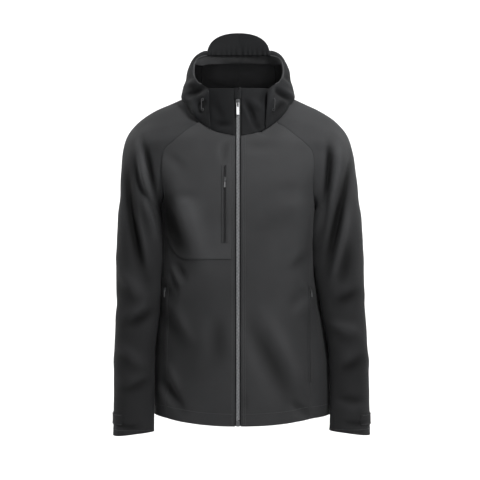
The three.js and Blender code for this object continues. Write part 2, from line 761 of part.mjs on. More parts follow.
// Fills in normals that point away from a centre, from the neighbours of each point.
function withNormals(points, centre) {
  const across = points.length - 1;
  const along = points[0].length - 1;
  return points.map((line, i) => line.map((point, j) => {
    const u = points[Math.min(i + 1, across)][j].clone().sub(points[Math.max(i - 1, 0)][j]);
    const v = line[Math.min(j + 1, along)].clone().sub(line[Math.max(j - 1, 0)]);
    const normal = u.cross(v).normalize();
    if (normal.dot(point.clone().sub(centre)) < 0) normal.negate();
    return { point, normal };
  }));
}

const NECK_CENTRE = new THREE.Vector3(0, 0, -20);

function neckDegreesAt(x) {
  let low = 0;
  let high = 90;
  for (let step = 0; step < 30; step += 1) {
    const middle = (low + high) / 2;
    if (neckPlan(middle).x > x) high = middle;
    else low = middle;
  }
  return low;
}

function collarGrid(side) {
  const degrees = [neckDegreesAt(FRONT_EDGE), neckDegreesAt(FRONT_COLUMNS[1])];
  for (let k = 1; k <= 8; k += 1) degrees.push(mix(degrees[1], COLLAR_END, k / 8));
  const points = degrees.map((at) => {
    const line = [];
    for (let j = 0; j <= COLLAR_ROWS; j += 1) {
      const point = collarPoint(side * at, j / COLLAR_ROWS);
      if (at === degrees[0]) point.x = side * FRONT_EDGE;
      line.push(point);
    }
    return line;
  });
  return withNormals(points, NECK_CENTRE);
}

// Hood: from the neck seam, out over the collar, to the edge of the face opening
const HOOD_ROWS = 8;
const HOOD_SIDE_COLUMNS = 9;
const HOOD_CENTRE_COLUMNS = 12;
const HOOD_START = 30;
const HOOD_CLEAR = WALL + 1;

function hoodEdge(signedDegrees) {
  const side = Math.sign(signedDegrees) || 1;
  const degrees = Math.abs(signedDegrees);
  const column = (name) => read(HOOD, 'angle', degrees, name);
  const shift = HOOD_SHIFT * ease(degrees, HOOD_START, 60);
  return new THREE.Vector3(side * column('x') + shift, column('y'), column('z'));
}

function hoodPoint(signedDegrees, t) {
  const side = Math.sign(signedDegrees) || 1;
  const degrees = Math.abs(signedDegrees);
  const column = (name) => read(HOOD, 'angle', degrees, name);
  const start = neckPoint(signedDegrees);
  const radius = Math.hypot(start.x, start.y);
  const out = (radius + HOOD_FOOT.out) / radius;
  start.set(start.x * out, start.y * out, start.z + HOOD_FOOT.up);
  const end = hoodEdge(signedDegrees);
  const leave = new THREE.Vector3(side * column('outA'), column('backA'), column('upA'));
  const arrive = new THREE.Vector3(side * column('outB'), column('backB'), column('upB'));
  const curve = new THREE.CubicBezierCurve3(
    start,
    start.clone().add(leave),
    end.clone().add(arrive),
    end,
  );
  return clearOfCollar(curve.getPoint(t));
}

// Moves a point of the hood out where it would come too near the collar.
function clearOfCollar(point) {
  const degrees = Math.atan2(Math.abs(point.x) / 112, -point.y / 116) / DEGREE;
  if (degrees > 88) return point;
  const signed = degrees * (Math.sign(point.x) || 1);
  const foot = collarPoint(signed, 0);
  const top = collarPoint(signed, 1);
  const t = (point.z - foot.z) / (top.z - foot.z);
  if (t > 1.1) return point;
  const collar = collarPoint(signed, Math.max(t, 0));
  const needed = Math.hypot(collar.x, collar.y) + HOOD_CLEAR * (1 - ease(degrees, 80, 88));
  const radius = Math.hypot(point.x, point.y);
  if (radius < needed) {
    point.x *= needed / radius;
    point.y *= needed / radius;
  }
  return point;
}

function hoodGrid() {
  const degrees = [];
  for (let k = 0; k < HOOD_SIDE_COLUMNS; k += 1) {
    degrees.push(mix(HOOD_START, HOOD_SEAM, k / HOOD_SIDE_COLUMNS));
  }
  for (let k = 0; k <= HOOD_CENTRE_COLUMNS; k += 1) {
    const at = mix(HOOD_SEAM, 360 - HOOD_SEAM, k / HOOD_CENTRE_COLUMNS);
    degrees.push(at <= 180 ? at : at - 360);
  }
  for (let k = 1; k <= HOOD_SIDE_COLUMNS; k += 1) {
    degrees.push(-mix(HOOD_SEAM, HOOD_START, k / HOOD_SIDE_COLUMNS));
  }
  const points = degrees.map((at) => {
    const line = [];
    for (let j = 0; j <= HOOD_ROWS; j += 1) line.push(hoodPoint(at, j / HOOD_ROWS));
    return line;
  });
  return withNormals(points, new THREE.Vector3(0, 20, 20));
}

// Band inside the hood along its edge, sewn down as a channel.
function facingGrid(hood) {
  const lines = [];
  for (let i = 4; i < hood.length - 4; i += 1) {
    const line = [];
    for (const distance of [FACING.width, FACING.width / 2, 1]) {
      line.push(between(hood, i, rowBack(hood[i], distance)));
    }
    lines.push(line);
  }
  return lines;
}

// The row, with its fraction, that lies a distance back along a line from its last point.
function rowBack(line, distance) {
  let left = distance;
  for (let j = line.length - 1; j > 0; j -= 1) {
    const step = line[j].point.distanceTo(line[j - 1].point);
    if (step >= left) return j - left / step;
    left -= step;
  }
  return 0;
}

// The row, with its fraction, where a line passes a height.
function rowAt(line, z) {
  for (let j = 0; j < line.length - 1; j += 1) {
    const low = line[j].point.z;
    const high = line[j + 1].point.z;
    if (z >= low && z <= high) return j + (z - low) / (high - low);
  }
  return z < line[0].point.z ? 0 : line.length - 1;
}

// Peak: a half-round flap on the hood's edge, flipped up, with small gathers along its root
const PEAK_COLUMNS = 40;
const PEAK_ROWS = 4;

function peakGrid() {
  const points = [];
  for (let i = 0; i <= PEAK_COLUMNS; i += 1) {
    const u = i / PEAK_COLUMNS;
    const at = mix(HOOD_SEAM + 1, 359 - HOOD_SEAM, u);
    const root = hoodEdge(at <= 180 ? at : at - 360);
    const across = Math.min(Math.abs(2 * u - 1), 1);
    const height = Math.max(PEAK.height * (1 - across ** PEAK.power) ** (1 / PEAK.power), PEAK.rim);
    const line = [];
    for (let j = 0; j <= PEAK_ROWS; j += 1) {
      const v = j / PEAK_ROWS;
      const gather = PEAK.wave * Math.cos(2 * Math.PI * PEAK.gathers * u) * (1 - v) ** 1.5;
      const y = root.y - WALL - PEAK.wave - LAY + PEAK.lean * v ** 2 + gather;
      const z = root.z - PEAK.sink + (height + PEAK.sink) * v;
      line.push(new THREE.Vector3(root.x * (1 - PEAK.taper * v), y, z));
    }
    points.push(line);
  }
  return withNormals(points, new THREE.Vector3(0, 400, 60));
}

// Overlays of the right front, made from that panel's own places
function chestPanelGrid(front) {
  const last = front.length - 1;
  const top = front[0].length - 1;
  const columns = [];
  for (let i = 1; i < last; i += 1) columns.push(i);
  columns.push(last - 0.12);
  const starts = columns.map((i) => {
    const line = front[Math.round(i)];
    const x = Math.abs(line[rowNear(line, CHEST_PANEL_Z)].point.x);
    const across = (x - CHEST_CORNER.from) / (CHEST_CORNER.to - CHEST_CORNER.from);
    const t = Math.min(Math.max(across, 0), 1);
    return rowAt(line, CHEST_PANEL_Z + CHEST_CORNER.rise * (1 - Math.sqrt(1 - t * t)));
  });
  const whole = Math.ceil(Math.max(...starts) + 0.2);
  return columns.map((i, k) => {
    const rows = [starts[k], mix(starts[k], whole, 0.5)];
    for (let j = whole; j < top; j += 1) rows.push(j);
    rows.push(top - 0.15);
    return rows.map((j) => between(front, i, j));
  });
}

function rowNear(line, z) {
  return Math.round(rowAt(line, z));
}

// A strip between two columns of a grid and two heights, with a place on each row that it crosses.
function stripGrid(grid, columns, foot, top) {
  return columns.map((i) => {
    const rows = stripRows(grid[Math.round(i)], foot, top);
    return rows.map((j) => between(grid, i, j));
  });
}

// A strip that straddles the front side seam, a little way onto each panel.
function seamStrip(front, side, half, foot, top) {
  const last = front.length - 1;
  const width = (a, b) => a.point.distanceTo(b.point);
  const row = rowNear(side[0], (foot + top) / 2);
  const onFront = last - half / width(front[last][row], front[last - 1][row]);
  const onSide = half / width(side[0][row], side[1][row]);
  const rows = stripRows(side[0], foot, top);
  return [
    rows.map((j) => between(front, onFront, j)),
    rows.map((j) => between(side, 0, j)),
    rows.map((j) => between(side, onSide, j)),
  ];
}

// Rows of a line from one height to another, with both ends and every whole row between them.
function stripRows(line, foot, top) {
  const from = rowAt(line, foot);
  const to = rowAt(line, top);
  const rows = [from];
  for (let j = Math.ceil(from + 0.15); j <= to - 0.15; j += 1) rows.push(j);
  rows.push(to);
  return rows;
}

// Centre line of the zip, up the fronts and then up the collar.
function zipLine(frontRight, frontLeft, collarRight, collarLeft) {
  const middle = (a, b) => {
    const point = a.point.clone().add(b.point).multiplyScalar(0.5);
    const normal = a.normal.clone().add(b.normal);
    point.x = 0;
    normal.x = 0;
    return { point, normal: normal.normalize() };
  };
  const fronts = frontRight[0].slice(0, -1).map((place, j) => middle(place, frontLeft[0][j]));
  const collars = collarRight[0].map((place, j) => middle(place, collarLeft[0][j]));
  return [...fronts, ...collars];
}

const beside = (place, x) => ({ point: place.point.clone().setX(x), normal: place.normal });

// The part of a line of places between two heights, with its ends set exactly on them.
function lineBetween(line, foot, top) {
  const grid = [line, line];
  return stripRows(line, foot, top).map((j) => between(grid, 0, j));
}

// Slider: a rounded body with a bail over it. Local z runs up the zip and local -y faces out.
const SLIDER = { width: 8.6, height: 13, body: 2.2, corner: 2.4, bail: 2.2, reach: 4, span: 10, wire: 1.2 };
const BAIL_ROOT = 0.4; // how deep the bail's feet sit in the body
const PULL = { width: 5.6, length: 25, thickness: 1.5, window: 3.4, windowLength: 8.6, bar: 1.5 };
const BAR = { y: -1.35, z: -2.4 }; // centre of the pull's bar, from the slider's front face

function solidFrom(geometry) {
  const seen = new Map();
  const position = geometry.attributes.position;
  const vertices = [];
  const remap = [];
  for (let k = 0; k < position.count; k += 1) {
    const spot = [position.getX(k), position.getY(k), position.getZ(k)];
    const key = spot.map((value) => Math.round(value * 1e4)).join();
    if (!seen.has(key)) {
      seen.set(key, vertices.length / 3);
      vertices.push(...spot);
    }
    remap.push(seen.get(key));
  }
  const order = geometry.index ? Array.from(geometry.index.array) : remap.map((value, k) => k);
  const triangles = order.map((k) => remap[k]);
  return new wasm.Manifold(new wasm.Mesh({
    numProp: 3,
    vertProperties: new Float32Array(vertices),
    triVerts: new Uint32Array(triangles),
  }));
}

function geometryFrom(solid) {
  const mesh = solid.getMesh();
  const geometry = new THREE.BufferGeometry();
  geometry.setAttribute('position', new THREE.Float32BufferAttribute(mesh.vertProperties, 3));
  geometry.setIndex(Array.from(mesh.triVerts));
  return geometry;
}

function roundedShape(width, low, high, radius) {
  const shape = new THREE.Shape();
  const half = width / 2;
  shape.moveTo(-half + radius, low);
  shape.lineTo(half - radius, low);
  shape.quadraticCurveTo(half, low, half, low + radius);
  shape.lineTo(half, high - radius);
  shape.quadraticCurveTo(half, high, half - radius, high);
  shape.lineTo(-half + radius, high);
  shape.quadraticCurveTo(-half, high, -half, high - radius);
  shape.lineTo(-half, low + radius);
  shape.quadraticCurveTo(-half, low, -half + radius, low);
  return shape;
}

// A flat plate drawn in x and z, from y = 0 out to -thickness.
function plate(shape, thickness) {
  const options = { depth: thickness, bevelEnabled: false, curveSegments: 3 };
  return new THREE.ExtrudeGeometry(shape, options).rotateX(Math.PI / 2);
}

function sliderGeometry() {
  const half = SLIDER.height / 2;
  const body = plate(roundedShape(SLIDER.width, -half, half, SLIDER.corner), SLIDER.body);
  const arch = new THREE.Shape();
  const out = SLIDER.reach;
  const reach = SLIDER.span / 2;
  arch.moveTo(BAIL_ROOT, -reach);
  arch.lineTo(-out + 1, -reach);
  arch.quadraticCurveTo(-out, -reach, -out, -reach + 1);
  arch.lineTo(-out, reach - 1);
  arch.quadraticCurveTo(-out, reach, -out + 1, reach);
  arch.lineTo(BAIL_ROOT, reach);
  arch.lineTo(BAIL_ROOT, reach - SLIDER.wire);
  arch.lineTo(-out + SLIDER.wire, reach - SLIDER.wire);
  arch.lineTo(-out + SLIDER.wire, -reach + SLIDER.wire);
  arch.lineTo(BAIL_ROOT, -reach + SLIDER.wire);
  const bail = new THREE.ExtrudeGeometry(arch, { depth: SLIDER.bail, bevelEnabled: false, curveSegments: 2 });
  bail.translate(0, 0, -SLIDER.bail / 2);
  bail.applyMatrix4(new THREE.Matrix4().set(0, 0, 1, 0, 1, 0, 0, -SLIDER.body, 0, 1, 0, 0, 0, 0, 0, 1));
  return geometryFrom(solidFrom(body).add(solidFrom(bail)));
}

// Pull: a flat tab with a window at its top, hung by its bar under the bail. Its origin is the bar.
function pullGeometry(length) {
  const shape = roundedShape(PULL.width, -length, PULL.bar / 2, 1.2);
  const hole = roundedShape(PULL.window, -PULL.windowLength, -PULL.bar / 2, 0.4);
  shape.holes.push(hole);
  return plate(shape, PULL.thickness).translate(0, PULL.thickness / 2, 0);
}

// Turns local axes so that -y points along a normal and z runs up a line, with its origin at a point.
function seatMatrix(place, up, lift, scale) {
  const outwards = place.normal.clone();
  const upwards = square(up, outwards);
  const across = upwards.clone().cross(outwards);
  const inwards = outwards.clone().negate();
  const matrix = new THREE.Matrix4().makeBasis(across, inwards, upwards);
  matrix.scale(new THREE.Vector3(scale, scale, scale));
  return matrix.setPosition(place.point.clone().addScaledVector(outwards, lift));
}

function addSlider(name, place, up, lift, scale, length) {
  const seat = seatMatrix(place, up, lift, scale);
  add(`${name}_slider`, sliderGeometry(), eyeletMetal, seat);
  const hang = seat.clone().multiply(new THREE.Matrix4().makeTranslation(0, BAR.y - SLIDER.body, BAR.z));
  add(`${name}_pull`, pullGeometry(length), pullMetal, hang);
}

const UP = new THREE.Vector3(0, 0, 1);

for (const { side, label } of SIDES) {
  grids[label].sleeve = finishSleeve(sleeveGrid(side, label), label);
  grids[label].collar = collarGrid(side);
  clothPiece(`front_${label}`, grids[label].front, shell);
  clothPiece(`side_${label}`, grids[label].side, shell);
  clothPiece(`sleeve_${label}`, grids[label].sleeve, sleeveCloth, { ring: true });
  clothPiece(`collar_${label}`, grids[label].collar, shell, { trim: 0 });
}
clothPiece('back', grids.back, shell);

const hood = hoodGrid();
const hoodSeamColumns = [HOOD_SIDE_COLUMNS, HOOD_SIDE_COLUMNS + HOOD_CENTRE_COLUMNS];
clothPiece('hood_left', hood.slice(0, hoodSeamColumns[0] + 1), shell);
clothPiece('hood_centre', hood.slice(hoodSeamColumns[0], hoodSeamColumns[1] + 1), shell);
clothPiece('hood_right', hood.slice(hoodSeamColumns[1]), shell);
clothPiece('hood_facing', facingGrid(hood), lining, { thickness: THIN, lift: FACING.lift });
clothPiece('hood_peak', peakGrid(), shell, { trim: 0 });

const front = grids.right.front;
clothPiece('chest_panel', chestPanelGrid(front), shell, { thickness: THIN, lift: LAY + THIN, trim: 0 });
const onPanel = LAY + THIN + LAY;
const chestStrip = (from, to) => stripGrid(front, [from, to], CHEST_ZIP.foot, CHEST_ZIP.top);
clothPiece('chest_welt_inner', chestStrip(2, 2.32), shell, { thickness: THIN, lift: onPanel + THIN, trim: 0 });
clothPiece('chest_welt_outer', chestStrip(2.68, 3), shell, { thickness: THIN, lift: onPanel + THIN, trim: 0 });
const onZip = { thickness: CHEST_ZIP.thickness, lift: onPanel + CHEST_ZIP.thickness, trim: 0 };
clothPiece('chest_zip', chestStrip(2.36, 2.64), zipPlastic, onZip);

const zip = zipLine(grids.right.front, grids.left.front, grids.right.collar, grids.left.collar);
const CHAIN = { lift: 0.7, thickness: 2.2 };
const zipFoot = zip[0].point.z;
const chainLine = lineBetween(zip, zipFoot + ZIP_BOX.height + 1, ZIP_TOP_Z);
const chainGrid = [
  chainLine.map((place) => beside(place, -ZIP_HALF)),
  chainLine.map((place) => beside(place, ZIP_HALF)),
];
clothPiece('zip_chain', chainGrid, zipPlastic, { thickness: CHAIN.thickness, lift: CHAIN.lift, trim: 0 });

// Tapes behind the front edges, each reaching from the middle of the chain onto its front
for (const { side, label } of SIDES) {
  const panels = [grids[label].front, grids[label].collar];
  const inner = panels.flatMap((grid, k) => grid[0].slice(0, k === 0 ? -1 : undefined));
  const outer = panels.flatMap((grid, k) => grid[1].slice(0, k === 0 ? -1 : undefined));
  const tape = [
    inner.map((place, j) => ({ ...beside(place, side * 0.4), normal: zip[j].normal })),
    outer.map((place, j) => ({ ...beside(place, side * TAPE_WIDTH), normal: zip[j].normal })),
  ];
  clothPiece(`zip_tape_${label}`, tape, shell, { thickness: 1, lift: -WALL - LAY, trim: 0 });
}

// Box that joins the tapes at the foot of the zip
const boxPlace = between([zip, zip], 0, rowAt(zip, zipFoot + ZIP_BOX.height / 2 + 0.5));
const boxOutline = roundedShape(2 * ZIP_HALF, -ZIP_BOX.height / 2, ZIP_BOX.height / 2, ZIP_BOX.corner);
add('zip_box', plate(boxOutline, ZIP_BOX.thickness), eyeletMetal, seatMatrix(boxPlace, UP, ZIP_BOX.set, 1));

// Garage: a short fold of cloth over the top end of the zip
const GARAGE = { half: 7.5, foot: ZIP_TOP_Z + 1, bulge: 2.2, lift: 0.6 + THIN };

function garageGrid() {
  const line = stripRows(zip, GARAGE.foot, COLLAR_TOP.z + 1).map((j) => between([zip, zip], 0, j));
  const grid = [];
  for (let i = 0; i <= 6; i += 1) {
    const u = i / 3 - 1;
    grid.push(line.map((place) => {
      const moved = beside(place, GARAGE.half * u);
      moved.point.addScaledVector(place.normal, GARAGE.bulge * (1 - u * u));
      return moved;
    }));
  }
  return grid;
}

clothPiece('zip_garage', garageGrid(), shell, { thickness: THIN, lift: GARAGE.lift, trim: 0 });

const sliderPlace = between([zip, zip], 0, rowAt(zip, SLIDER_Z));
addSlider('zip', sliderPlace, UP, CHAIN.lift + SEAM, 1, PULL.length);

// Chest pocket's slider, near the top of its zip
const SMALL = 0.62; // scale of the pocket sliders and pulls
const SMALL_PULL = { chest: 27, hand: 24 }; // length of each pocket pull before it is scaled
const chestLine = stripGrid(front, [2.5], CHEST_ZIP.foot, CHEST_ZIP.top)[0];
const chestPlace = between([chestLine, chestLine], 0, rowAt(chestLine, CHEST_ZIP.slider));
addSlider('chest', chestPlace, UP, onPanel + THIN + SEAM, SMALL, SMALL_PULL.chest);

// Hand pockets: each zip straddles a front side seam, with its slider at the top
const onSeam = { thickness: 1, lift: 1.6 };
for (const { label } of SIDES) {
  const strip = seamStrip(grids[label].front, grids[label].side, HAND_ZIP.half, HAND_ZIP.foot, HAND_ZIP.top);
  clothPiece(`hand_zip_${label}`, strip, shell, { ...onSeam, trim: 0 });
  const place = between([strip[1], strip[1]], 0, rowAt(strip[1], HAND_ZIP.top - HAND_ZIP.sliderDrop));
  addSlider(`hand_${label}`, place, UP, onSeam.lift + SEAM, SMALL, SMALL_PULL.hand);
}

// Cuff tabs: a strap round the outer side of each cuff
for (const { label } of SIDES) {
  const sleeve = grids[label].sleeve;
  const foot = CAP_ROWS + ARM_HEIGHTS.length + 1;
  const strap = [];
  for (let k = Math.floor(CUFF_TAB.first); k <= CUFF_TAB.last; k += 1) {
    const column = Math.max(k, CUFF_TAB.first);
    strap.push([between(sleeve, column, foot), between(sleeve, column, foot - 1)]);
  }
  const { thickness, lift } = CUFF_TAB;
  clothPiece(`cuff_tab_${label}`, strap, sleeveCloth, { thickness, lift, trim: 0 });
}

// Eyelets of the hood's draw cord, low on each side of the hood, with the cord's short captive loop
const EYELET = { hole: 1.6, edge: 3.4, thickness: 1, lift: 0.7 };
const CORD = { radius: 1.1, end: 2.1, bend: 4.2, middle: 5 }; // its heights above the hood at each place
const EYELETS = table('name angle t', [
  ['upper', 48, 0.66],
  ['lower', 43, 0.52],
]);

function hoodPlace(side, degrees, t) {
  const point = hoodPoint(side * degrees, t);
  const u = hoodPoint(side * (degrees + 1.5), t).sub(hoodPoint(side * (degrees - 1.5), t));
  const v = hoodPoint(side * degrees, t + 0.05).sub(hoodPoint(side * degrees, t - 0.05));
  const normal = u.cross(v).normalize();
  if (normal.dot(point.clone().sub(NECK_CENTRE)) < 0) normal.negate();
  return { point, normal };
}

function eyeletGeometry() {
  const profile = [
    new THREE.Vector2(EYELET.hole, 0),
    new THREE.Vector2(EYELET.edge, 0),
    new THREE.Vector2(EYELET.edge - 0.4, EYELET.thickness),
    new THREE.Vector2(EYELET.hole + 0.3, EYELET.thickness),
    new THREE.Vector2(EYELET.hole, 0),
  ];
  return new THREE.LatheGeometry(profile, 14).rotateX(Math.PI);
}

for (const { side, label } of SIDES) {
  const places = EYELETS.map((row) => hoodPlace(side, row.angle, row.t));
  EYELETS.forEach((row, k) => {
    const seat = seatMatrix(places[k], UP, EYELET.lift, 1);
    add(`eyelet_${label}_${row.name}`, eyeletGeometry(), eyeletMetal, seat);
  });
  const lift = (place, height) => place.point.clone().addScaledVector(place.normal, height);
  const route = new THREE.CatmullRomCurve3([
    lift(places[0], CORD.end),
    lift(places[0], CORD.bend),
    lift(places[0], CORD.middle).lerp(lift(places[1], CORD.middle), 0.5),
    lift(places[1], CORD.bend),
    lift(places[1], CORD.end),
  ]);
  const round = new THREE.Shape();
  round.absarc(0, 0, CORD.radius, 0, 2 * Math.PI);
  const tube = new THREE.ExtrudeGeometry(round, { steps: 12, curveSegments: 4, extrudePath: route });
  add(`hood_cord_${label}`, tube, cord);
}

export default jacket;
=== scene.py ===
# %% [markdown]
# A hooded softshell jacket, filled out as if worn, with nobody in it.
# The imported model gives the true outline. This file dresses it: each cloth panel becomes a thin
# shell with creases, rolled edges and stitching, and each zip gets its teeth.

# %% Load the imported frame
import math

import bpy
import numpy as np
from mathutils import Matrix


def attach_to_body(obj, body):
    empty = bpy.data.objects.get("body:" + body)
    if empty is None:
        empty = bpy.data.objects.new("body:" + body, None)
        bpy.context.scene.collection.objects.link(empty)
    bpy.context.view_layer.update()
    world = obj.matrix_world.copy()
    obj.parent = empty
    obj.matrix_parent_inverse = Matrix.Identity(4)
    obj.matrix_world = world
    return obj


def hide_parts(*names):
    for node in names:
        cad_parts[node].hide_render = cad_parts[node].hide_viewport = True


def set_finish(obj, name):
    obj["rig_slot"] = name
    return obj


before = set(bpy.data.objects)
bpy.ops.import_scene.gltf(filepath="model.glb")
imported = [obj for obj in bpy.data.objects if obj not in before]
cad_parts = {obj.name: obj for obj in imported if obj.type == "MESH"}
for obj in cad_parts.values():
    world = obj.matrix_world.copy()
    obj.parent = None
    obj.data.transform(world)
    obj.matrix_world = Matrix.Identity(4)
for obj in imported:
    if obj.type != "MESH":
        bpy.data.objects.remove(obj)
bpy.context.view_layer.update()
MM = 0.001
CLOTH_BODY = "jacket"
print("frame:", len(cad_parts), "nodes")

# %% [markdown]
# The camera comes first. It stands level with the chest, about three metres away, which is how a
# catalogue picture of a jacket is taken, so the sides hardly converge.

# %% Camera
CAMERA_PLACE = (0.0044, -3.0, -0.305)
CAMERA_LENS = 103.2
camera_data = bpy.data.cameras.new("camera")
camera_data.lens = CAMERA_LENS
camera_data.sensor_width = 36
camera_data.clip_end = 30
camera = bpy.data.objects.new("camera", camera_data)
camera.location = CAMERA_PLACE
camera.rotation_euler = (math.pi / 2, 0, 0)
bpy.context.scene.collection.objects.link(camera)
bpy.context.scene.camera = camera

# %% [markdown]
# A studio sweep is one sheet of pale paper that runs along the floor and curves up behind. It has
# no corner, so no line crosses the picture.

# %% Sweep and lights
FLOOR = -0.95
WALL_AT = 3.6
BEND = 1.5


def mesh_object(name, vertices, faces, smooth=True):
    """A mesh object at the origin from an array of points in metres and an array of faces."""
    mesh = bpy.data.meshes.new(name)
    mesh.from_pydata(vertices.reshape(-1, 3).tolist(), [], faces.tolist())
    mesh.polygons.foreach_set("use_smooth", np.full(len(mesh.polygons), smooth))
    mesh.update()
    piece = bpy.data.objects.new(name, mesh)
    bpy.context.scene.collection.objects.link(piece)
    return piece


def grid_faces(across, along, wrap=False):
    """Quads of a grid whose point (i, j) has number i * along + j; wrap joins last line and first."""
    i = np.arange(across if wrap else across - 1)[:, None]
    j = np.arange(along - 1)[None, :]
    following = (i + 1) % across
    corners = [i * along + j, following * along + j, following * along + j + 1, i * along + j + 1]
    return np.stack(np.broadcast_arrays(*corners), -1).reshape(-1, 4)


def studio_sweep():
    """A profile of floor, quarter circle and wall, carried straight across from side to side."""
    turn = np.linspace(0, math.pi / 2, 24)
    y = np.concatenate([[-5.0], WALL_AT - BEND + BEND * np.sin(turn), [WALL_AT]])
    z = np.concatenate([[FLOOR], FLOOR + BEND * (1 - np.cos(turn)), [4.0]])
    x = np.array([-7.0, 7.0])
    points = np.stack(np.broadcast_arrays(x[:, None], y[None], z[None]), -1)
    return mesh_object("sweep", points, grid_faces(2, len(y)))


sweep = studio_sweep()


def soft_light(name, place, aim, size, watts):
    """A square area lamp at place that faces aim."""
    lamp = bpy.data.lights.new(name, "AREA")
    lamp.shape = "RECTANGLE"
    lamp.size, lamp.size_y = size
    lamp.energy = watts
    holder = bpy.data.objects.new(name, lamp)
    holder.location = place
    direction = np.subtract(aim, place)
    flat = math.hypot(direction[0], direction[1])
    holder.rotation_euler = (math.atan2(flat, -direction[2]), 0, math.atan2(-direction[0], direction[1]))
    bpy.context.scene.collection.objects.link(holder)


soft_light("key", (0.6, -1.25, 0.95), (0, 0, -0.12), (0.35, 0.3), 37)
soft_light("fill", (0.1, -2.9, -0.35), (0, 0, -0.1), (0.5, 0.5), 11)
soft_light("paper_left", (-2.7, 1.0, 1.8), (0.3, 3.2, 0.2), (1.4, 1.4), 128)
soft_light("paper_right", (2.7, 1.0, 1.8), (-0.3, 3.2, 0.2), (1.4, 1.4), 128)
world = bpy.data.worlds.new("studio")
world.use_nodes = True
world.node_tree.nodes["Background"].inputs["Color"].default_value = (1, 1, 1, 1)
world.node_tree.nodes["Background"].inputs["Strength"].default_value = 0.05
bpy.context.scene.world = world
bpy.context.scene.view_settings.view_transform = "Standard"
print("camera, sweep and lamps stand")

# %% [markdown]
# The jacket's form is a few short tables of sections. A cubic curve runs through the rows of each
# table, so a dozen rows give a smooth body, and every panel reads its points from the same curves.

# %% Tables of the form, in millimetres


def table(names, rows):
    """Named columns from rows of numbers."""
    columns = np.array(rows, float).T
    return dict(zip(names.split(), columns))


BODY = table("z half front back shift power", [
    [-710, 191.5, 142, 142, 9.5, 2.4],
    [-640, 192.5, 142, 141, 9.5, 2.4],
    [-540, 188, 141, 138, 8, 2.4],
    [-440, 176, 139, 134, 3, 2.4],
    [-370, 168.1, 138, 134, 0, 2.45],
    [-300, 166.8, 138, 136, 0, 2.5],
    [-240, 168.8, 139, 138, 0, 2.5],
    [-205, 173, 138, 138, 0, 2.5],
    [-150, 198, 133, 136, 0, 2.4],
    [-120, 211, 128, 132, 0, 2.3],
    [-88, 216, 120, 124, 0, 2.15],
    [-50, 207, 89, 112, 0, 2.05],
    [-22, 174, 76, 100, 0, 2],
    [-5, 143, 68, 90, 0, 2],
    [12, 113, 60, 77, 0, 2],
])
NECK = table("angle x z", [
    [0, 0, -88], [25, 48, -77], [45, 80, -55], [65, 102, -27], [80, 111, -7],
    [95, 112.5, 6], [115, 102, 11], [145, 65, 11], [180, 0, 10],
])
RAGLAN_FRONT = table("z x", [[-205, 160], [-151, 161], [-116, 156], [-96, 136], [-53, 82.5]])
RAGLAN_BACK = table("z x", [[-205, 160], [-150, 161], [-100, 152], [-60, 138], [-22, 112], [10, 72.5]])
ARM = {
    "right": table("z x y wide deep tilt bulge", [
        [-716, 226.5, -56, 39.5, 46, -0.14, 14],
        [-640, 223.5, -50, 42.5, 49, -0.06, 8.5],
        [-540, 221.5, -44, 43.5, 53, 0, 6],
        [-440, 217.5, -34, 44.5, 58, 0.05, 12],
        [-384, 216, -26, 46, 61, 0.12, 10.5],
        [-300, 215, -14, 46, 67, 0.5, 16],
        [-240, 214.1, -4.1, 42.4, 71.1, 1, 19],
        [-212, 214, 0, 41, 73, 1.2, 19],
    ]),
    "left": table("z x y wide deep tilt bulge", [
        [-714, 242, -56, 40.5, 46, -0.14, 12],
        [-640, 241, -50, 40.8, 49, -0.06, 8.5],
        [-540, 236.2, -44, 42.3, 53, 0, 6],
        [-440, 226.5, -34, 47.5, 58, 0.05, 9.5],
        [-384, 221, -26, 50.5, 61, 0.12, 10.5],
        [-300, 219, -14, 50, 67, 0.5, 16],
        [-240, 216.3, -4.1, 44.1, 71.1, 1, 19],
        [-212, 215.5, 0, 41.5, 73, 1.2, 19],
    ]),
}
BULGE = {"turn": 150, "before": 36, "after": 16}
HOOD = table("angle x y z outA backA upA outB backB upB", [
    [30, 57, -106, -62, 1, -1, 3, 1, -1, -2],
    [38, 60, -105, -30, 4, -3, 8, 4, -2, -6],
    [47, 62, -101, 6, 8, -5, 14, 8, 1, -10],
    [58, 70, -90, 20, 14, -4, 20, 14, 6, -8],
    [75, 88, -74, 32, 14, 2, 24, 19, 10, -2],
    [95, 97, -48, 56, 13, 12, 22, 18, 24, 10],
    [115, 92, -18, 86, 15, 32, 12, 11, 52, 34],
    [135, 70, 8, 99, 16, 60, -20, 14, 100, 66],
    [155, 42, 22, 102, 10, 84, -50, 18, 150, 62],
    [180, 0, 28, 103, 0, 95, -72, 0, 175, 64],
])
WALL = 2
THIN = 1.2
FRONT_EDGE = 6.2
SEAM_X = 152
SEAM_TOP_X = 160
SEAM_BEND_Z = -420
ARMHOLE_Z = -205
UNDERARM_DIP = 35
NECK_FRONT = 47
NECK_BACK = 140
CHEST_PANEL_Z = -345
CHEST_ZIP = {"x": -27, "top": -149, "foot": -311}
HAND_ZIP = {"top": -400, "foot": -603}
ARM_POWER = 2.2
SHOULDER = {"right": 1.87, "left": 1.78}
SIDE = {"right": -1, "left": 1}


def read(rows, at, column, key="z"):
    """Cubic curve through a table's rows: its slope at a row is that between the rows beside it."""
    k, c = rows[key], rows[column]
    at = np.clip(at, k[0], k[-1])
    i = np.clip(np.searchsorted(k, at) - 1, 0, len(k) - 2)
    before = np.maximum(np.arange(len(k)) - 1, 0)
    after = np.minimum(np.arange(len(k)) + 1, len(k) - 1)
    slope = (c[after] - c[before]) / (k[after] - k[before])
    run = k[i + 1] - k[i]
    s = (at - k[i]) / run
    h = 1 - s
    start = c[i] * h * h * (1 + 2 * s) + run * slope[i] * s * h * h
    return start + c[i + 1] * s * s * (1 + 2 * h) - run * slope[i + 1] * s * s * h


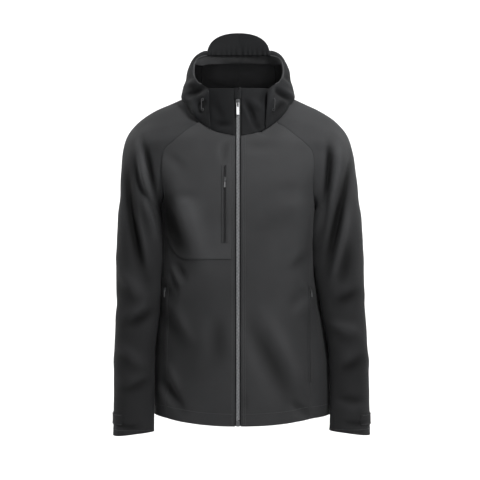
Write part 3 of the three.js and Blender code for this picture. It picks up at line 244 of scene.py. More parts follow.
def mix(a, b, t):
    return a + (b - a) * t


def ease(value, low, high):
    """Zero below low, one above high, and 3t^2 - 2t^3 between."""
    t = np.clip((value - low) / (high - low), 0, 1)
    return t * t * (3 - 2 * t)


def rounded(value, power):
    """A sine or cosine made squarer: its size to the power 2 / power."""
    return np.sign(value) * np.abs(value) ** (2 / power)


def unit(v):
    return v / np.maximum(np.linalg.norm(v, axis=-1, keepdims=True), 1e-9)


def cubic(start, leave, arrive, end, t):
    """Cubic curve from start to end, pulled by two points between them."""
    h = 1 - t
    return start * h**3 + leave * 3 * h * h * t + arrive * 3 * h * t * t + end * t**3


def run_length(line):
    """Length of a line from its first point to each of its points."""
    return np.concatenate([[0], np.cumsum(np.linalg.norm(np.diff(line, axis=0), axis=-1))])


def sample(values, key, at):
    """Rows of values read at places of a rising key, straight between neighbours."""
    return np.stack([np.interp(at, key, column) for column in values.T], -1)


def body_point(angle, z):
    """Superellipse section: x from the sine of the angle, depth from its cosine."""
    power = read(BODY, z, "power")
    deep = np.where(np.cos(angle) > 0, read(BODY, z, "front"), read(BODY, z, "back"))
    x = read(BODY, z, "shift") + read(BODY, z, "half") * rounded(np.sin(angle), power)
    return np.stack(np.broadcast_arrays(x, -deep * rounded(np.cos(angle), power), z), -1)


def body_normal(angle, z):
    """Cross product of the steps round the body and up it."""
    around = body_point(angle + 0.03, z) - body_point(angle - 0.03, z)
    up = body_point(angle, z + 2) - body_point(angle, z - 2)
    return unit(np.cross(around, up))


def angle_at(x, z, face):
    """The angle whose superellipse point stands at x, on the front or the back."""
    across = (x - read(BODY, z, "shift")) / read(BODY, z, "half")
    lean = np.arcsin(np.minimum(np.abs(across), 1) ** (read(BODY, z, "power") / 2))
    return np.sign(across) * (lean if face == "front" else math.pi - lean)


print("tables read:", len(BODY["z"]), "sections of the body")

# %% [markdown]
# A garment filled out as worn still creases: where an arm hangs, where a zip pulls a hem straight,
# under a pocket. Here each crease is a short curve seen from the front, the back or a side, with
# its own length, width and depth, and a shallow trough beside each ridge. A few slow ripples lie
# under them, so that no stretch of cloth is quite flat.

# %% Creases
CREASES = [
    ("front", [  # body: start, middle and end of its path in x and z, width, depth and side trough
        [-146, -150, -110, -262, -60, -362, 27, 5.2, 0.1],
        [-158, -196, -142, -262, -112, -336, 18, -5.9, 0.2],
        [-150, -420, -125, -470, -98, -512, 13, 6.5, 0.6],
        [-156, -384, -146, -430, -112, -500, 12, -4.7, 0.2],
        [-162, -596, -140, -630, -112, -660, 10, -6.0, 0.5],
        [-150, -560, -138, -592, -122, -618, 9, 3.4, 0.4],
        [-46, -465, -38, -510, -44, -562, 17, -4.2, 0.4],
        [-132, -352, -122, -372, -108, -392, 7, -4.7, 0.6],
        [-146, -366, -136, -392, -128, -420, 7, -3.6, 0.5],
        [20, -470, 70, -560, 114, -650, 17, -4.4, 0.5],
        [54, -450, 100, -530, 138, -612, 16, 3.4, 0.4],
        [112, -640, 130, -655, 156, -672, 8, -3.6, 0.5],
        [8, -618, 14, -640, 12, -662, 8, -2.1, 0.3],
        [26, -300, 70, -272, 124, -250, 22, -1.5, 0.2],
        [60, -210, 100, -190, 140, -196, 16, -1.1, 0.4],
        [84, -236, 118, -222, 150, -226, 12, 0.9, 0.4],
        [-140, -216, -112, -206, -84, -214, 12, -2.1, 0.4],
        [-150, -120, -128, -135, -112, -160, 10, -2.1, 0.5],
        [14, -100, 40, -112, 76, -104, 10, -1.2, 0.4],
        [-20, -100, -34, -118, -28, -142, 8, -2.1, 0.4],
        [150, -330, 132, -352, 108, -366, 11, -2.9, 0.5],
        [156, -420, 138, -446, 112, -462, 12, 3.1, 0.5],
        # The last three rows are broad, shallow troughs: they shape the cloth a little, and through the
        # materials' crease shade they add painted shade as broad darker zones over the fronts.
        [-162, -216, -138, -306, -96, -376, 26, -5.5, 0],
        [-140, -420, -104, -520, -92, -640, 46, -2.6, 0],
        [136, -400, 120, -520, 128, -640, 40, -1.6, 0],
    ]),
    ("back", [  # body, back
        [-150, -225, -110, -245, -60, -250, 14, -4.1, 0.5],
        [150, -232, 104, -256, 52, -258, 13, -3.8, 0.5],
        [-146, -262, -112, -290, -66, -304, 12, 3.6, 0.5],
        [148, -280, 108, -310, 60, -318, 11, 3.1, 0.5],
        [-130, -340, -60, -372, 10, -380, 15, -4.3, 0.4],
        [128, -352, 66, -392, -6, -410, 16, 4.1, 0.4],
        [-120, -450, -40, -482, 40, -470, 18, -3.8, 0.3],
        [140, -500, 92, -548, 30, -566, 15, -4.1, 0.4],
        [-150, -556, -112, -600, -70, -650, 16, 4.1, 0.4],
        [40, -600, 84, -628, 140, -660, 13, 3.4, 0.4],
        [-30, -60, 0, -72, 34, -62, 14, -2.2, 0.3],
    ]),
    ("front", [  # right sleeve from the front: x and z
        [-211, -94, -206, -176, -178, -226, 8, 10.5, 0.5],
        [-203, -86, -190, -146, -174, -222, 7, -10.5, 0.3],
        [-238, -134, -238, -240, -190, -394, 11, -11.4, 0.15],
        [-203, -212, -184, -256, -175, -300, 7, 9.5, 0.5],
        [-214, -250, -200, -310, -192, -372, 10, 7.0, 0.5],
        [-250, -372, -226, -402, -196, -424, 14, 6.0, 0.5],
        [-180, -452, -204, -476, -240, -484, 11, -7.4, 0.6],
        [-250, -524, -226, -552, -194, -566, 12, 6.0, 0.5],
        [-188, -600, -210, -618, -246, -622, 9, -5.2, 0.5],
        [-252, -694, -234, -704, -204, -698, 6, -4.2, 0.5],
    ]),
    ("front", [  # left sleeve from the front
        [242, -132, 222, -214, 190, -368, 10, -11.4, 0.15],
        [212, -106, 214, -148, 178, -270, 8, 9.5, 0.5],
        [192, -100, 202, -174, 176, -290, 7, -9.8, 0.3],
        [234, -240, 222, -300, 204, -372, 10, 8.0, 0.5],
        [234, -310, 230, -356, 214, -412, 13, -6.3, 0.5],
        [258, -410, 232, -432, 200, -438, 13, -6.6, 0.5],
        [196, -478, 222, -498, 256, -496, 12, 6.3, 0.5],
        [268, -548, 246, -574, 212, -580, 12, -6.0, 0.5],
        [210, -634, 236, -646, 270, -642, 9, -4.9, 0.5],
        [224, -690, 250, -696, 272, -690, 6, -3.9, 0.5],
    ]),
    ("back", [  # sleeves from behind
        [-186, -150, -206, -214, -232, -262, 11, -6.5, 0.5],
        [-180, -205, -196, -262, -224, -318, 9, 6.0, 0.5],
        [-250, -352, -222, -384, -186, -398, 12, -5.7, 0.5],
        [-186, -430, -212, -450, -252, -446, 12, 4.9, 0.5],
        [-256, -520, -226, -548, -192, -552, 12, -4.4, 0.4],
        [-190, -620, -220, -636, -256, -632, 10, 3.4, 0.4],
        [188, -146, 206, -206, 236, -250, 11, -6.5, 0.5],
        [182, -212, 204, -276, 240, -322, 10, 5.7, 0.5],
        [262, -366, 232, -402, 196, -412, 12, -5.5, 0.5],
        [200, -446, 232, -470, 268, -462, 12, 4.7, 0.5],
        [272, -546, 244, -570, 206, -572, 12, -4.4, 0.4],
        [210, -634, 240, -648, 274, -642, 10, 3.4, 0.4],
    ]),
    ("outer", [  # sleeves from the side: y and z
        [-60, -180, -20, -226, 44, -250, 20, -1.0, 0],
        [46, -300, 0, -340, -62, -352, 14, 1.3, 0.4],
        [-80, -430, -30, -452, 22, -440, 14, -1.3, 0.4],
        [14, -540, -40, -570, -90, -566, 14, 1.2, 0.4],
    ]),
    ("front", [  # collar and hood from the front
        [14, -12, 32, -34, 38, -66, 6, -7.6, 0.6],
        [28, -10, 48, -18, 56, -36, 7, 4.8, 0.4],
        [38, -58, 42, -68, 50, -78, 5, -4.2, 0.4],
        [-50, -58, -34, -63, -16, -60, 6, -4.5, 0.5],
        [-52, -16, -40, -34, -32, -52, 8, -2.5, 0.4],
        [-112, 4, -92, 4, -66, 18, 7, -6.4, 0.5],
        [-88, 4, -80, -14, -68, -40, 8, -6.4, 0.4],
        [-110, 24, -100, 34, -84, 30, 8, 4.2, 0.4],
        [-98, -10, -92, -34, -78, -58, 7, 3.6, 0.4],
        [116, -6, 98, -2, 74, 16, 7, -6.4, 0.5],
        [80, 26, 68, 4, 64, -22, 6, 5.0, 0.5],
        [100, -12, 88, -24, 72, -52, 8, -5.6, 0.4],
        [112, 20, 104, 34, 90, 34, 8, 4.2, 0.4],
    ]),
    ("back", [
        [-88, 60, -40, 28, 20, 30, 12, -5.0, 0.5],
        [84, 40, 40, 14, -14, 6, 12, -4.5, 0.5],
        [-40, 84, 0, 74, 44, 80, 9, 3.4, 0.4],
    ]),
    ("outer", [
        [-80, 4, -20, 0, 40, 6, 11, 4.6, 0.2],
        [-70, 44, -20, 42, 40, 46, 14, -3.6, 0],
    ]),
]
PATH_STEPS = np.linspace(0, 1, 25)
CREASE_REACH = 3.5  # widths away from its path where a crease has faded out
CREASE_PAST = 0.15  # how far a crease runs on past its ends, as a share of its length
CREASE_POWER = 1.4
TROUGH = {"off": 1.7, "wide": 1.2}  # the trough beside a ridge, in widths of the crease


def crease_height(points, normals):
    """Sum over the creases of depth * fade along the path * (bell across it - bite * bell beside it)."""
    views = {
        "front": (points[..., 0], ease(-normals[..., 1], 0.1, 0.45)),
        "back": (points[..., 0], ease(normals[..., 1], 0.1, 0.45)),
        "outer": (points[..., 1], ease(np.abs(normals[..., 0]), 0.55, 0.85)),
    }
    height = np.zeros(points.shape[:-1])
    for face, (*path, width, depth, bite) in ((face, row) for face, rows in CREASES for row in rows):
        u, seen = views[face]
        reach = CREASE_REACH * width
        box = np.array(path, float).reshape(3, 2)
        low, high = box.min(0) - reach, box.max(0) + reach
        near = (seen > 0) & (u > low[0]) & (u < high[0])
        near &= (points[..., 2] > low[1]) & (points[..., 2] < high[1])
        if not near.any():
            continue
        spot = np.stack([u[near], points[..., 2][near]], -1)
        t = PATH_STEPS[:, None]
        path = (1 - t) ** 2 * box[0] + 2 * t * (1 - t) * box[1] + t * t * box[2]
        run = unit(2 * (1 - t) * (box[1] - box[0]) + 2 * t * (box[2] - box[1]))
        gap = spot[:, None] - path[None]
        nearest = np.argmin((gap**2).sum(-1), 1)
        pick = np.arange(len(spot))
        run = run[nearest]
        gap = gap[pick, nearest]
        off = gap[:, 0] * run[:, 1] - gap[:, 1] * run[:, 0]
        length = np.linalg.norm(np.diff(path, axis=0), axis=1).sum()
        along = PATH_STEPS[nearest] + (gap * run).sum(-1) / length
        whole = np.clip((along + CREASE_PAST) / (1 + 2 * CREASE_PAST), 0, 1)
        fade = np.sin(math.pi * whole) ** CREASE_POWER
        beside = (off - TROUGH["off"] * width) / (TROUGH["wide"] * width)
        bell = np.exp(-((off / width) ** 2)) - bite * np.exp(-(beside**2))
        height[near] += depth * fade * bell * seen[near]
    return height


RIPPLE_SEED = 11
RIPPLES = 14
RIPPLE_LENGTHS = (46, 150)
ripple_random = np.random.default_rng(RIPPLE_SEED)
ripple_waves = ripple_random.normal(size=(RIPPLES, 3)) * 2 * math.pi
ripple_waves = ripple_waves / ripple_random.uniform(*RIPPLE_LENGTHS, (RIPPLES, 1))
ripple_phase = ripple_random.uniform(0, 2 * math.pi, RIPPLES)
RIPPLE_HEIGHT = 0.42


def ripple(points):
    """Sum of slow sine waves through space, in random directions and lengths."""
    return RIPPLE_HEIGHT * np.sin(points @ ripple_waves.T + ripple_phase).sum(-1) / math.sqrt(RIPPLES / 2)


BODY_FOLDS = [
    ["front", -150, -420, -104, -512, 22, 3.5],
    ["front", -160, -600, -118, -655, 16, -3],
    ["front", -45, -470, -42, -560, 26, -2],
    ["front", -132, -352, -112, -386, 14, -2.5],
    ["front", 20, -492, 104, -650, 26, -3],
    ["front", 60, -480, 130, -600, 24, 2.5],
    ["front", 118, -645, 150, -668, 16, -2],
    ["front", 30, -300, 120, -250, 30, -1.5],
    ["back", -120, -330, -20, -380, 26, -3],
    ["back", 110, -300, 20, -352, 24, -3],
    ["back", -90, -470, 60, -520, 30, -2.5],
    ["back", 40, -590, 140, -650, 24, 3],
    ["back", -150, -560, -70, -640, 22, 2.5],
]


FOLD_PAST = 0.2  # how far a fold runs on past its ends, as a share of its length


def fold_height(u, v, fold):
    """A long soft bell: its height falls off across the line, and as a squared cosine along it."""
    u0, v0, u1, v1, width, depth = fold
    du, dv = u1 - u0, v1 - v0
    length = math.hypot(du, dv)
    along = ((u - u0) * du + (v - v0) * dv) / length**2
    off = ((u - u0) * dv - (v - v0) * du) / length
    fade = np.cos(math.pi * (along - 0.5) / (1 + 2 * FOLD_PAST)) ** 2
    over = (along < -FOLD_PAST) | (along > 1 + FOLD_PAST)
    return np.where(over, 0, depth * fade * np.exp(-((off / width) ** 2)))


def body_place(angle, z):
    """Point and normal of the body's cloth, with the long folds that the frame has too."""
    point, normal = body_point(angle, z), body_normal(angle, z)
    front = np.cos(angle) > 0
    height = np.zeros(point.shape[:-1])
    for face, *fold in BODY_FOLDS:
        height += np.where(front == (face == "front"), fold_height(point[..., 0], point[..., 2], fold), 0)
    height *= np.abs(np.cos(angle)) ** 0.5
    return point + normal * height[..., None], normal


def creased(point, normal, share=1.0):
    """Moves cloth along its normals by its creases and ripples."""
    height = crease_height(point, normal) + ripple(point)
    return point + normal * (share * height)[..., None], normal


print("creases:", sum(len(rows) for _, rows in CREASES), "ripples:", RIPPLES)

# %% [markdown]
# A cloth wall is two surfaces, the outer one and the lining, joined by a rolled edge. Where two
# panels meet, their rolled edges lie side by side and leave the fine valley that a seam shows.
# Every point also keeps an attribute: how deep a crease has pressed the cloth there. With it the
# materials paint shade, darkening a trough's colour, as little of the room's light gets there.

# %% Cloth walls with rolled edges
ROLL_TURNS = np.radians([45, 90, 135])
OVERLAP = 0.05
CREASE_SHADE_FULL = 8.0  # a trough this deep counts as one, and gets the darkest painted shade


def border_loop(across, along):
    """Numbers of the border points of a grid, once round it."""
    number = np.arange(across * along).reshape(across, along)
    return np.concatenate([number[:, 0], number[-1, 1:], number[-2::-1, -1], number[0, -2:0:-1]])


def outward_at_border(points):
    """In the surface and away from it, at each border point; inner points get zero."""
    out = np.zeros_like(points)
    out[0] += unit(points[0] - points[1])
    out[-1] += unit(points[-1] - points[-2])
    out[:, 0] += unit(points[:, 0] - points[:, 1])
    out[:, -1] += unit(points[:, -1] - points[:, -2])
    return out


def loop_strip(first, second, wrap=True):
    """Quads between two loops of point numbers."""
    a, b = (np.append(first, first[0]), np.append(second, second[0])) if wrap else (first, second)
    return np.stack([a[:-1], b[:-1], b[1:], a[1:]], -1)


def cloth_uv(points):
    """Arc length across and along the grid, in metres, so a weave keeps its size all over."""
    across = np.linalg.norm(np.diff(points, axis=0), axis=-1).mean(1)
    along = np.linalg.norm(np.diff(points, axis=1), axis=-1)
    u = np.concatenate([[0], np.cumsum(across)])[:, None] * np.ones(points.shape[1])
    v = np.concatenate([np.zeros((points.shape[0], 1)), np.cumsum(along, 1)], 1)
    return np.stack([u, v], -1) * MM


def cloth_wall(name, points, normals, thickness=WALL, ring=False):
    """Closed wall: outer grid, half-round edge of three rows, inner grid. Its lining is material 1."""
    across, along = points.shape[:2]
    radius = thickness / 2
    if ring:
        out = np.zeros_like(points)
        out[:, 0] = unit(points[:, 0] - points[:, 1])
        out[:, -1] = unit(points[:, -1] - points[:, -2])
        number = np.arange(across * along).reshape(across, along)
        loops = [number[:, 0], number[::-1, -1]]
    else:
        out = outward_at_border(points)
        loops = [border_loop(across, along)]
    out -= normals * (out * normals).sum(-1, keepdims=True)
    out = unit(out) * (np.linalg.norm(out, axis=-1, keepdims=True) > 1e-6)
    outer = points - out * (radius - OVERLAP)
    inner = outer - normals * thickness
    count = across * along
    flat_out, flat_normal = out.reshape(-1, 3), normals.reshape(-1, 3)
    middle = (outer - normals * radius).reshape(-1, 3)
    vertices = [outer.reshape(-1, 3), inner.reshape(-1, 3)]
    surface = grid_faces(across, along, ring)
    faces = [surface, surface[:, ::-1] + count]
    inside = [np.zeros(len(surface), int), np.ones(len(surface), int)]
    used = 2 * count
    for loop in loops:
        last = loop
        for turn in ROLL_TURNS:
            lean = math.cos(turn) * flat_normal[loop] + math.sin(turn) * flat_out[loop]
            vertices.append(middle[loop] + radius * lean)
            numbers = used + np.arange(len(loop))
            faces.append(loop_strip(last, numbers))
            last = numbers
            used += len(loop)
        faces.append(loop_strip(last, loop + count))
        inside.append(np.zeros(len(loop) * (len(ROLL_TURNS) + 1), int))
    faces = np.concatenate(faces)
    inside = np.concatenate(inside)
    middle_face = points[across // 2: across // 2 + 2, along // 2: along // 2 + 2]
    facing = np.cross(middle_face[1, 0] - middle_face[0, 0], middle_face[0, 1] - middle_face[0, 0])
    if facing @ normals[across // 2, along // 2] < 0:
        faces = faces[:, ::-1]
    piece = mesh_object(name, np.concatenate(vertices) * MM, faces)
    piece.data.polygons.foreach_set("material_index", inside)
    # painted shade: the crease depth at each point, which the materials turn into darker colour in troughs
    crease_shade = np.clip(-crease_height(points, normals) / CREASE_SHADE_FULL, -0.5, 1)
    carried = np.column_stack([cloth_uv(points).reshape(-1, 2), crease_shade.ravel()])
    lining_carried = carried * (1, 1, 0)
    edge_carried = [carried[loop] for loop in loops for _ in ROLL_TURNS]
    per_vertex = np.concatenate([carried, lining_carried, *edge_carried])
    corner = np.zeros(len(piece.data.loops), np.int32)
    piece.data.loops.foreach_get("vertex_index", corner)
    layer = piece.data.uv_layers.new(name="cloth")
    layer.data.foreach_set("uv", per_vertex[corner, :2].ravel())
    attribute = piece.data.attributes.new("crease_shade", "FLOAT", "POINT")
    attribute.data.foreach_set("value", per_vertex[:, 2])
    return piece


cloth_pieces = {}


def attach(piece, slot, stands_for=None):
    """Rides a piece on the jacket, gives it its slot and lets it stand for a solid."""
    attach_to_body(piece, CLOTH_BODY)
    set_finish(piece, slot)
    if stands_for:
        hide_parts(stands_for)
    return piece


def dress(name, points, normals, slot, thickness=WALL, ring=False, held="stretched", rests_on=(),
          stands_for=None):
    piece = attach(cloth_wall(name, points, normals, thickness, ring), slot, stands_for)
    cloth_pieces[name] = piece
    return piece


def steps(*stops):
    """Joined runs of evenly spaced numbers: a start, then pairs of an end and how many steps reach it."""
    parts = [np.array([stops[0]], float)]
    start = stops[0]
    for end, count in zip(stops[1::2], stops[2::2]):
        parts.append(np.linspace(start, end, count + 1)[1:])
        start = end
    return np.concatenate(parts)


# %% [markdown]
# The seams come before the panels. A raglan jacket has a front and a back seam that run from the
# hem up past the armhole to the neck, and both neighbours of a seam read the same curve.

# %% Seams
SEAM_SPLIT = 13 / 20
CHEST_Z = {"front": -232, "back": -225}
NECK_FINE = np.linspace(0, 180, 1441)
HEM = {"front": (-693, 19), "back": (-700, 26)}  # height in the middle and rise to the side
HEM_HALF = 190
HEM_POWER = 2.2


def hem_z(x, face="front"):
    """The hem dips in the middle and rises with the 2.2nd power of the distance from it."""
    middle, rise = HEM[face]
    return middle + rise * np.minimum(np.abs(x) / HEM_HALF, 1) ** HEM_POWER


def neck_plan(degrees):
    return read(NECK, degrees, "x", "angle"), read(NECK, degrees, "z", "angle")


def neck_z(x, face):
    """Height of the neck seam where it passes x, read back from the neck's own curve."""
    x_fine, z_fine = neck_plan(NECK_FINE)
    part = (NECK_FINE <= NECK_FRONT + 10) if face == "front" else (NECK_FINE >= NECK_BACK - 10)
    order = np.argsort(x_fine[part])
    return np.interp(np.abs(x), x_fine[part][order], z_fine[part][order])


def neck_point(signed):
    """On the body where a front or back ends at the neck; across the shoulder, y follows the cosine."""
    side = np.where(signed < 0, -1, 1)
    degrees = np.abs(signed)
    x, z = neck_plan(degrees)
    front = body_point(angle_at(side * x, z, "front"), z)
    back = body_point(angle_at(side * x, z, "back"), z)
    y = np.where(degrees <= NECK_FRONT, front[..., 1], back[..., 1])
    for end, face, reach in ((NECK_FRONT, "front", degrees < 90), (NECK_BACK, "back", degrees >= 90)):
        end_x, end_z = neck_plan(end)
        end_y = body_point(angle_at(end_x, end_z, face), end_z)[1]
        over = reach & (degrees > NECK_FRONT) & (degrees < NECK_BACK)
        across = end_y * np.cos(np.radians(degrees)) / math.cos(math.radians(end))
        y = np.where(over, across, y)
    return np.stack([side * x, y, z], -1)


def side_seam_x(z):
    """The side seam stands further out near the armhole than below it."""
    return mix(SEAM_X, SEAM_TOP_X, ease(z, SEAM_BEND_Z, ARMHOLE_Z))


def outer_seam(face, v):
    """Side seam, then raglan seam: x and z for v from 0 at the hem to 1 at the neck."""
    low = np.clip(v / SEAM_SPLIT, 0, 1)
    high = np.clip((v - SEAM_SPLIT) / (1 - SEAM_SPLIT), 0, 1)
    top_x, top_z = neck_plan(NECK_FRONT if face == "front" else NECK_BACK)
    side_z = mix(hem_z(SEAM_X, face), ARMHOLE_Z, low)
    raglan_z = mix(ARMHOLE_Z, top_z, high**0.85)
    raglan = read(RAGLAN_FRONT if face == "front" else RAGLAN_BACK, raglan_z, "x")
    raglan = mix(raglan, top_x, ease(high, 0.9, 1))
    x = np.where(v <= SEAM_SPLIT, side_seam_x(side_z), raglan)
    return x, np.where(v <= SEAM_SPLIT, side_z, raglan_z)


def centre_height(face, v, foot, lift):
    """Up the middle of a front or back: even steps from hem to chest, and others from chest to neck."""
    low = mix(foot, CHEST_Z[face], np.clip(v / SEAM_SPLIT, 0, 1))
    high = mix(CHEST_Z[face], lift, (v - SEAM_SPLIT) / (1 - SEAM_SPLIT))
    return np.where(v <= SEAM_SPLIT, low, high)


def armhole(side, t):
    """Underarm curve: a parabola that dips below the ends of the side seams."""
    x_front, _ = outer_seam("front", np.array(SEAM_SPLIT))
    x_back, _ = outer_seam("back", np.array(SEAM_SPLIT))
    start = angle_at(side * x_front, ARMHOLE_Z, "front")
    end = angle_at(side * x_back, ARMHOLE_Z, "back")
    return mix(start, end, t), ARMHOLE_Z - UNDERARM_DIP * (1 - (2 * t - 1) ** 2)


# %% [markdown]
# Each front runs from the zip to the side and raglan seams. Its columns stand straight beside the
# zip and then share the way round the body, as the panels of a fitted jacket do.

# %% Fronts
FRONT_ROWS = steps(0, 0.06, 22, SEAM_SPLIT, 86, 1, 60)
STRAIGHT_X = 34  # from the zip out to here the columns stand straight
STRAIGHT_U = 0.25


def front_place(side, u, v):
    """Body cloth at u from the zip (0) to the outer seam (1) and v from hem to neck."""
    edge_x, edge_z = outer_seam("front", v)
    foot, lift = float(hem_z(0.0)), float(neck_plan(0.0)[1])
    centre_z = centre_height("front", v, foot, lift)
    near = mix(FRONT_EDGE, STRAIGHT_X, np.clip(u / STRAIGHT_U, 0, 1))
    inner = angle_at(STRAIGHT_X, edge_z, "front")
    outer = angle_at(edge_x, edge_z, "front")
    turn = mix(inner, outer, (u - STRAIGHT_U) / (1 - STRAIGHT_U))
    x = np.where(u <= STRAIGHT_U, near, body_point(turn, edge_z)[..., 0])
    x = np.where(u >= 1, edge_x, x)
    share = (x - FRONT_EDGE) / (edge_x - FRONT_EDGE)
    top_x, top_z = outer_seam("front", np.array(1.0))
    foot_z = outer_seam("front", np.array(0.0))[1]
    at_hem = hem_z(x) - mix(foot, foot_z, share)
    at_neck = neck_z(np.minimum(x, top_x), "front") - mix(lift, top_z, share)
    z = mix(centre_z, edge_z, share) + np.where(u < 1, (1 - v) ** 2 * at_hem + v**3 * at_neck, 0)
    return body_place(angle_at(side * x, z, "front"), z)


FRONT_COLUMNS = steps(0, STRAIGHT_U, 12, 1, 58)
for label, side in SIDE.items():
    place = front_place(side, FRONT_COLUMNS[:, None], FRONT_ROWS[None, :])
    dress(f"shell_front_{label}", *creased(*place), "shell", rests_on=["zip_chain"],
          stands_for=f"front_{label}")


# %% [markdown]
# The side panels and the back close the body. They use the same seams, so the rolled edges of
# neighbours lie against each other all the way up.

# %% Sides and back
SIDE_ROWS = steps(0, 0.09, 22, 1, 86)
SIDE_COLUMNS = np.linspace(0, 1, 44)
BACK_SPAN = np.linspace(-1, 1, 131)


def side_place(side, t, w):
    """Body cloth at t from the front seam to the back seam and w from the hem to the armhole."""
    front_x, front_z = outer_seam("front", w * SEAM_SPLIT)
    back_x, back_z = outer_seam("back", w * SEAM_SPLIT)
    start = angle_at(side * front_x, front_z, "front")
    end = angle_at(side * back_x, back_z, "back")
    z = mix(front_z, back_z, t) - w**2 * UNDERARM_DIP * (1 - (2 * t - 1) ** 2)
    return body_place(mix(start, end, t), z + (1 - w) ** 2 * 12 * t * (1 - t))


def back_place(span, v):
    """Body cloth at span from -1 (right seam) to 1 (left seam) and v from hem to neck."""
    edge_x, edge_z = outer_seam("back", v)
    foot, lift = float(hem_z(0.0, "back")), float(neck_plan(180.0)[1])
    centre = centre_height("back", v, foot, lift)
    lean = angle_at(edge_x, edge_z, "back")
    x = body_point(mix(math.pi, lean, np.abs(span)), edge_z)[..., 0] - read(BODY, edge_z, "shift")
    x = np.where(np.abs(span) >= 1, edge_x, x)
    share = (x / edge_x) ** 2
    foot_z = float(outer_seam("back", np.array(0.0))[1])
    top_z = float(outer_seam("back", np.array(1.0))[1])
    at_hem = hem_z(x, "back") - mix(foot, foot_z, share)
    at_neck = neck_z(x, "back") - mix(lift, top_z, share)
    inner = np.abs(span) < 1
    z = mix(centre, edge_z, share) + np.where(inner, (1 - v) ** 12 * at_hem + v**14 * at_neck, 0)
    side = np.where(span < 0, -1, 1)
    return body_place(angle_at(side * x, z, "back"), z)


for label, side in SIDE.items():
    place = side_place(side, SIDE_COLUMNS[:, None], SIDE_ROWS[None, :])
    dress(f"shell_side_{label}", *creased(*place), "shell", rests_on=[f"shell_front_{label}"],
          stands_for=f"side_{label}")
place = back_place(BACK_SPAN[:, None], FRONT_ROWS[None, :])
dress("shell_back", *creased(*place), "shell", rests_on=["shell_side_right", "shell_side_left"],
      stands_for="back")

# %% [markdown]
# A raglan sleeve is one tube. It leaves a ring round the armhole and the side of the neck, turns
# over the shoulder on a cubic curve, and then follows the sections of the arm down to the cuff.

# %% Sleeves
ARM_TOP = -212
CUFF_FINE = 34  # the lowest stretch of a sleeve, with closer rows for its tab
BODY_SIDE = ((118, 140), (205, 235))  # turns between which a sleeve faces the body
ARRIVE_PULL = 1.37
SHOULDER_CREASE = 0.45  # how much of a crease is left where the sleeve meets its ring
BODY_SIDE_CREASE = 0.2
CAP_STEPS = np.linspace(0, 1, 27)
RING_TURNS = {"underarm": 125, "neck": 32}  # where the ring's corners lie round the arm
SHOULDER_SLOPE = (0.36, 0.93)
DROOP_Z = (105, 200)  # millimetres below the origin: a sleeve leaves its ring ever more downwards
ARM_FOLDS = {
    "right": [
        [75, -90, 120, -225, 16, 4.5], [60, -85, 95, -215, 15, -4], [30, -130, 95, -390, 20, -4.5],
        [75, -205, 120, -300, 14, 4], [110, -230, 150, -330, 16, -4], [20, -330, 110, -420, 22, 3],
        [340, -300, 250, -400, 24, -3.5], [30, -440, 130, -500, 22, -3], [200, -420, 300, -480, 22, 3],
        [20, -560, 120, -600, 20, 2.5], [300, -520, 220, -600, 22, -3], [60, -650, 330, -655, 16, -2],
    ],
    "left": [
        [35, -125, 95, -365, 20, -5], [60, -95, 105, -265, 16, 4.5], [80, -90, 125, -285, 15, -4],
        [115, -215, 150, -320, 14, 3.5], [15, -300, 100, -400, 24, 3], [330, -320, 240, -390, 22, -3.5],
        [20, -450, 120, -490, 22, -3], [210, -400, 300, -470, 22, 3], [10, -545, 110, -590, 20, 2.5],
        [310, -540, 230, -610, 22, -3], [50, -648, 320, -652, 16, -2],
    ],
}


def sleeve_ring(side):
    """Points, normals and turns round the ring: front seam, neck, back seam, underarm."""
    rise = np.linspace(0, 1, 37)
    v = mix(SEAM_SPLIT, 1, rise)
    front_x, front_z = outer_seam("front", v)
    back_x, back_z = outer_seam("back", v)
    front, front_normal = body_place(angle_at(side * front_x, front_z, "front"), front_z)
    back, back_normal = body_place(angle_at(side * back_x, back_z, "back"), back_z)
    t = np.linspace(0, 1, 14)[1:-1, None]
    over = neck_point(side * mix(NECK_FRONT, NECK_BACK, t[:, 0]))
    crest = unit(np.array([side * SHOULDER_SLOPE[0], 0, SHOULDER_SLOPE[1]]))
    over_normal = unit(front_normal[-1] * (1 - t) ** 2 + crest * 2 * t * (1 - t) + back_normal[-1] * t**2)
    under_t = np.linspace(1, 0, 26)[1:-1]
    under, under_normal = body_place(*armhole(side, under_t))
    points = np.concatenate([front, over, back[::-1], under])
    normals = np.concatenate([front_normal, over_normal, back_normal[::-1], under_normal])
    low, high = RING_TURNS["underarm"], RING_TURNS["neck"]
    turns = np.concatenate([
        mix(low, high, rise), mix(high, -high, t[:, 0]), mix(-low, -high, rise[::-1]),
        -mix(360 - low, low, under_t),
    ])
    return points, normals, turns


def bulge_share(degrees):
    """A bell round the arm that falls off faster behind its highest turn than before it."""
    off = np.mod(degrees, 360) - BULGE["turn"]
    return np.exp(-((off / np.where(off < 0, BULGE["before"], BULGE["after"])) ** 2))


def arm_point(label, degrees, z):
    """Superellipse section of the arm, tilted across itself, with a bell-shaped bulge towards the body."""
    out = read(ARM[label], z, "wide") * rounded(np.cos(np.radians(degrees)), ARM_POWER)
    forward = read(ARM[label], z, "deep") * rounded(np.sin(np.radians(degrees)), ARM_POWER)
    x = SIDE[label] * (read(ARM[label], z, "x") + out - read(ARM[label], z, "bulge") * bulge_share(degrees))
    y = read(ARM[label], z, "y") - forward
    return np.stack(np.broadcast_arrays(x, y, z + read(ARM[label], z, "tilt") * out), -1)


def square_to(direction, other):
    other = unit(other)
    return unit(direction - other * (direction * other).sum(-1, keepdims=True))


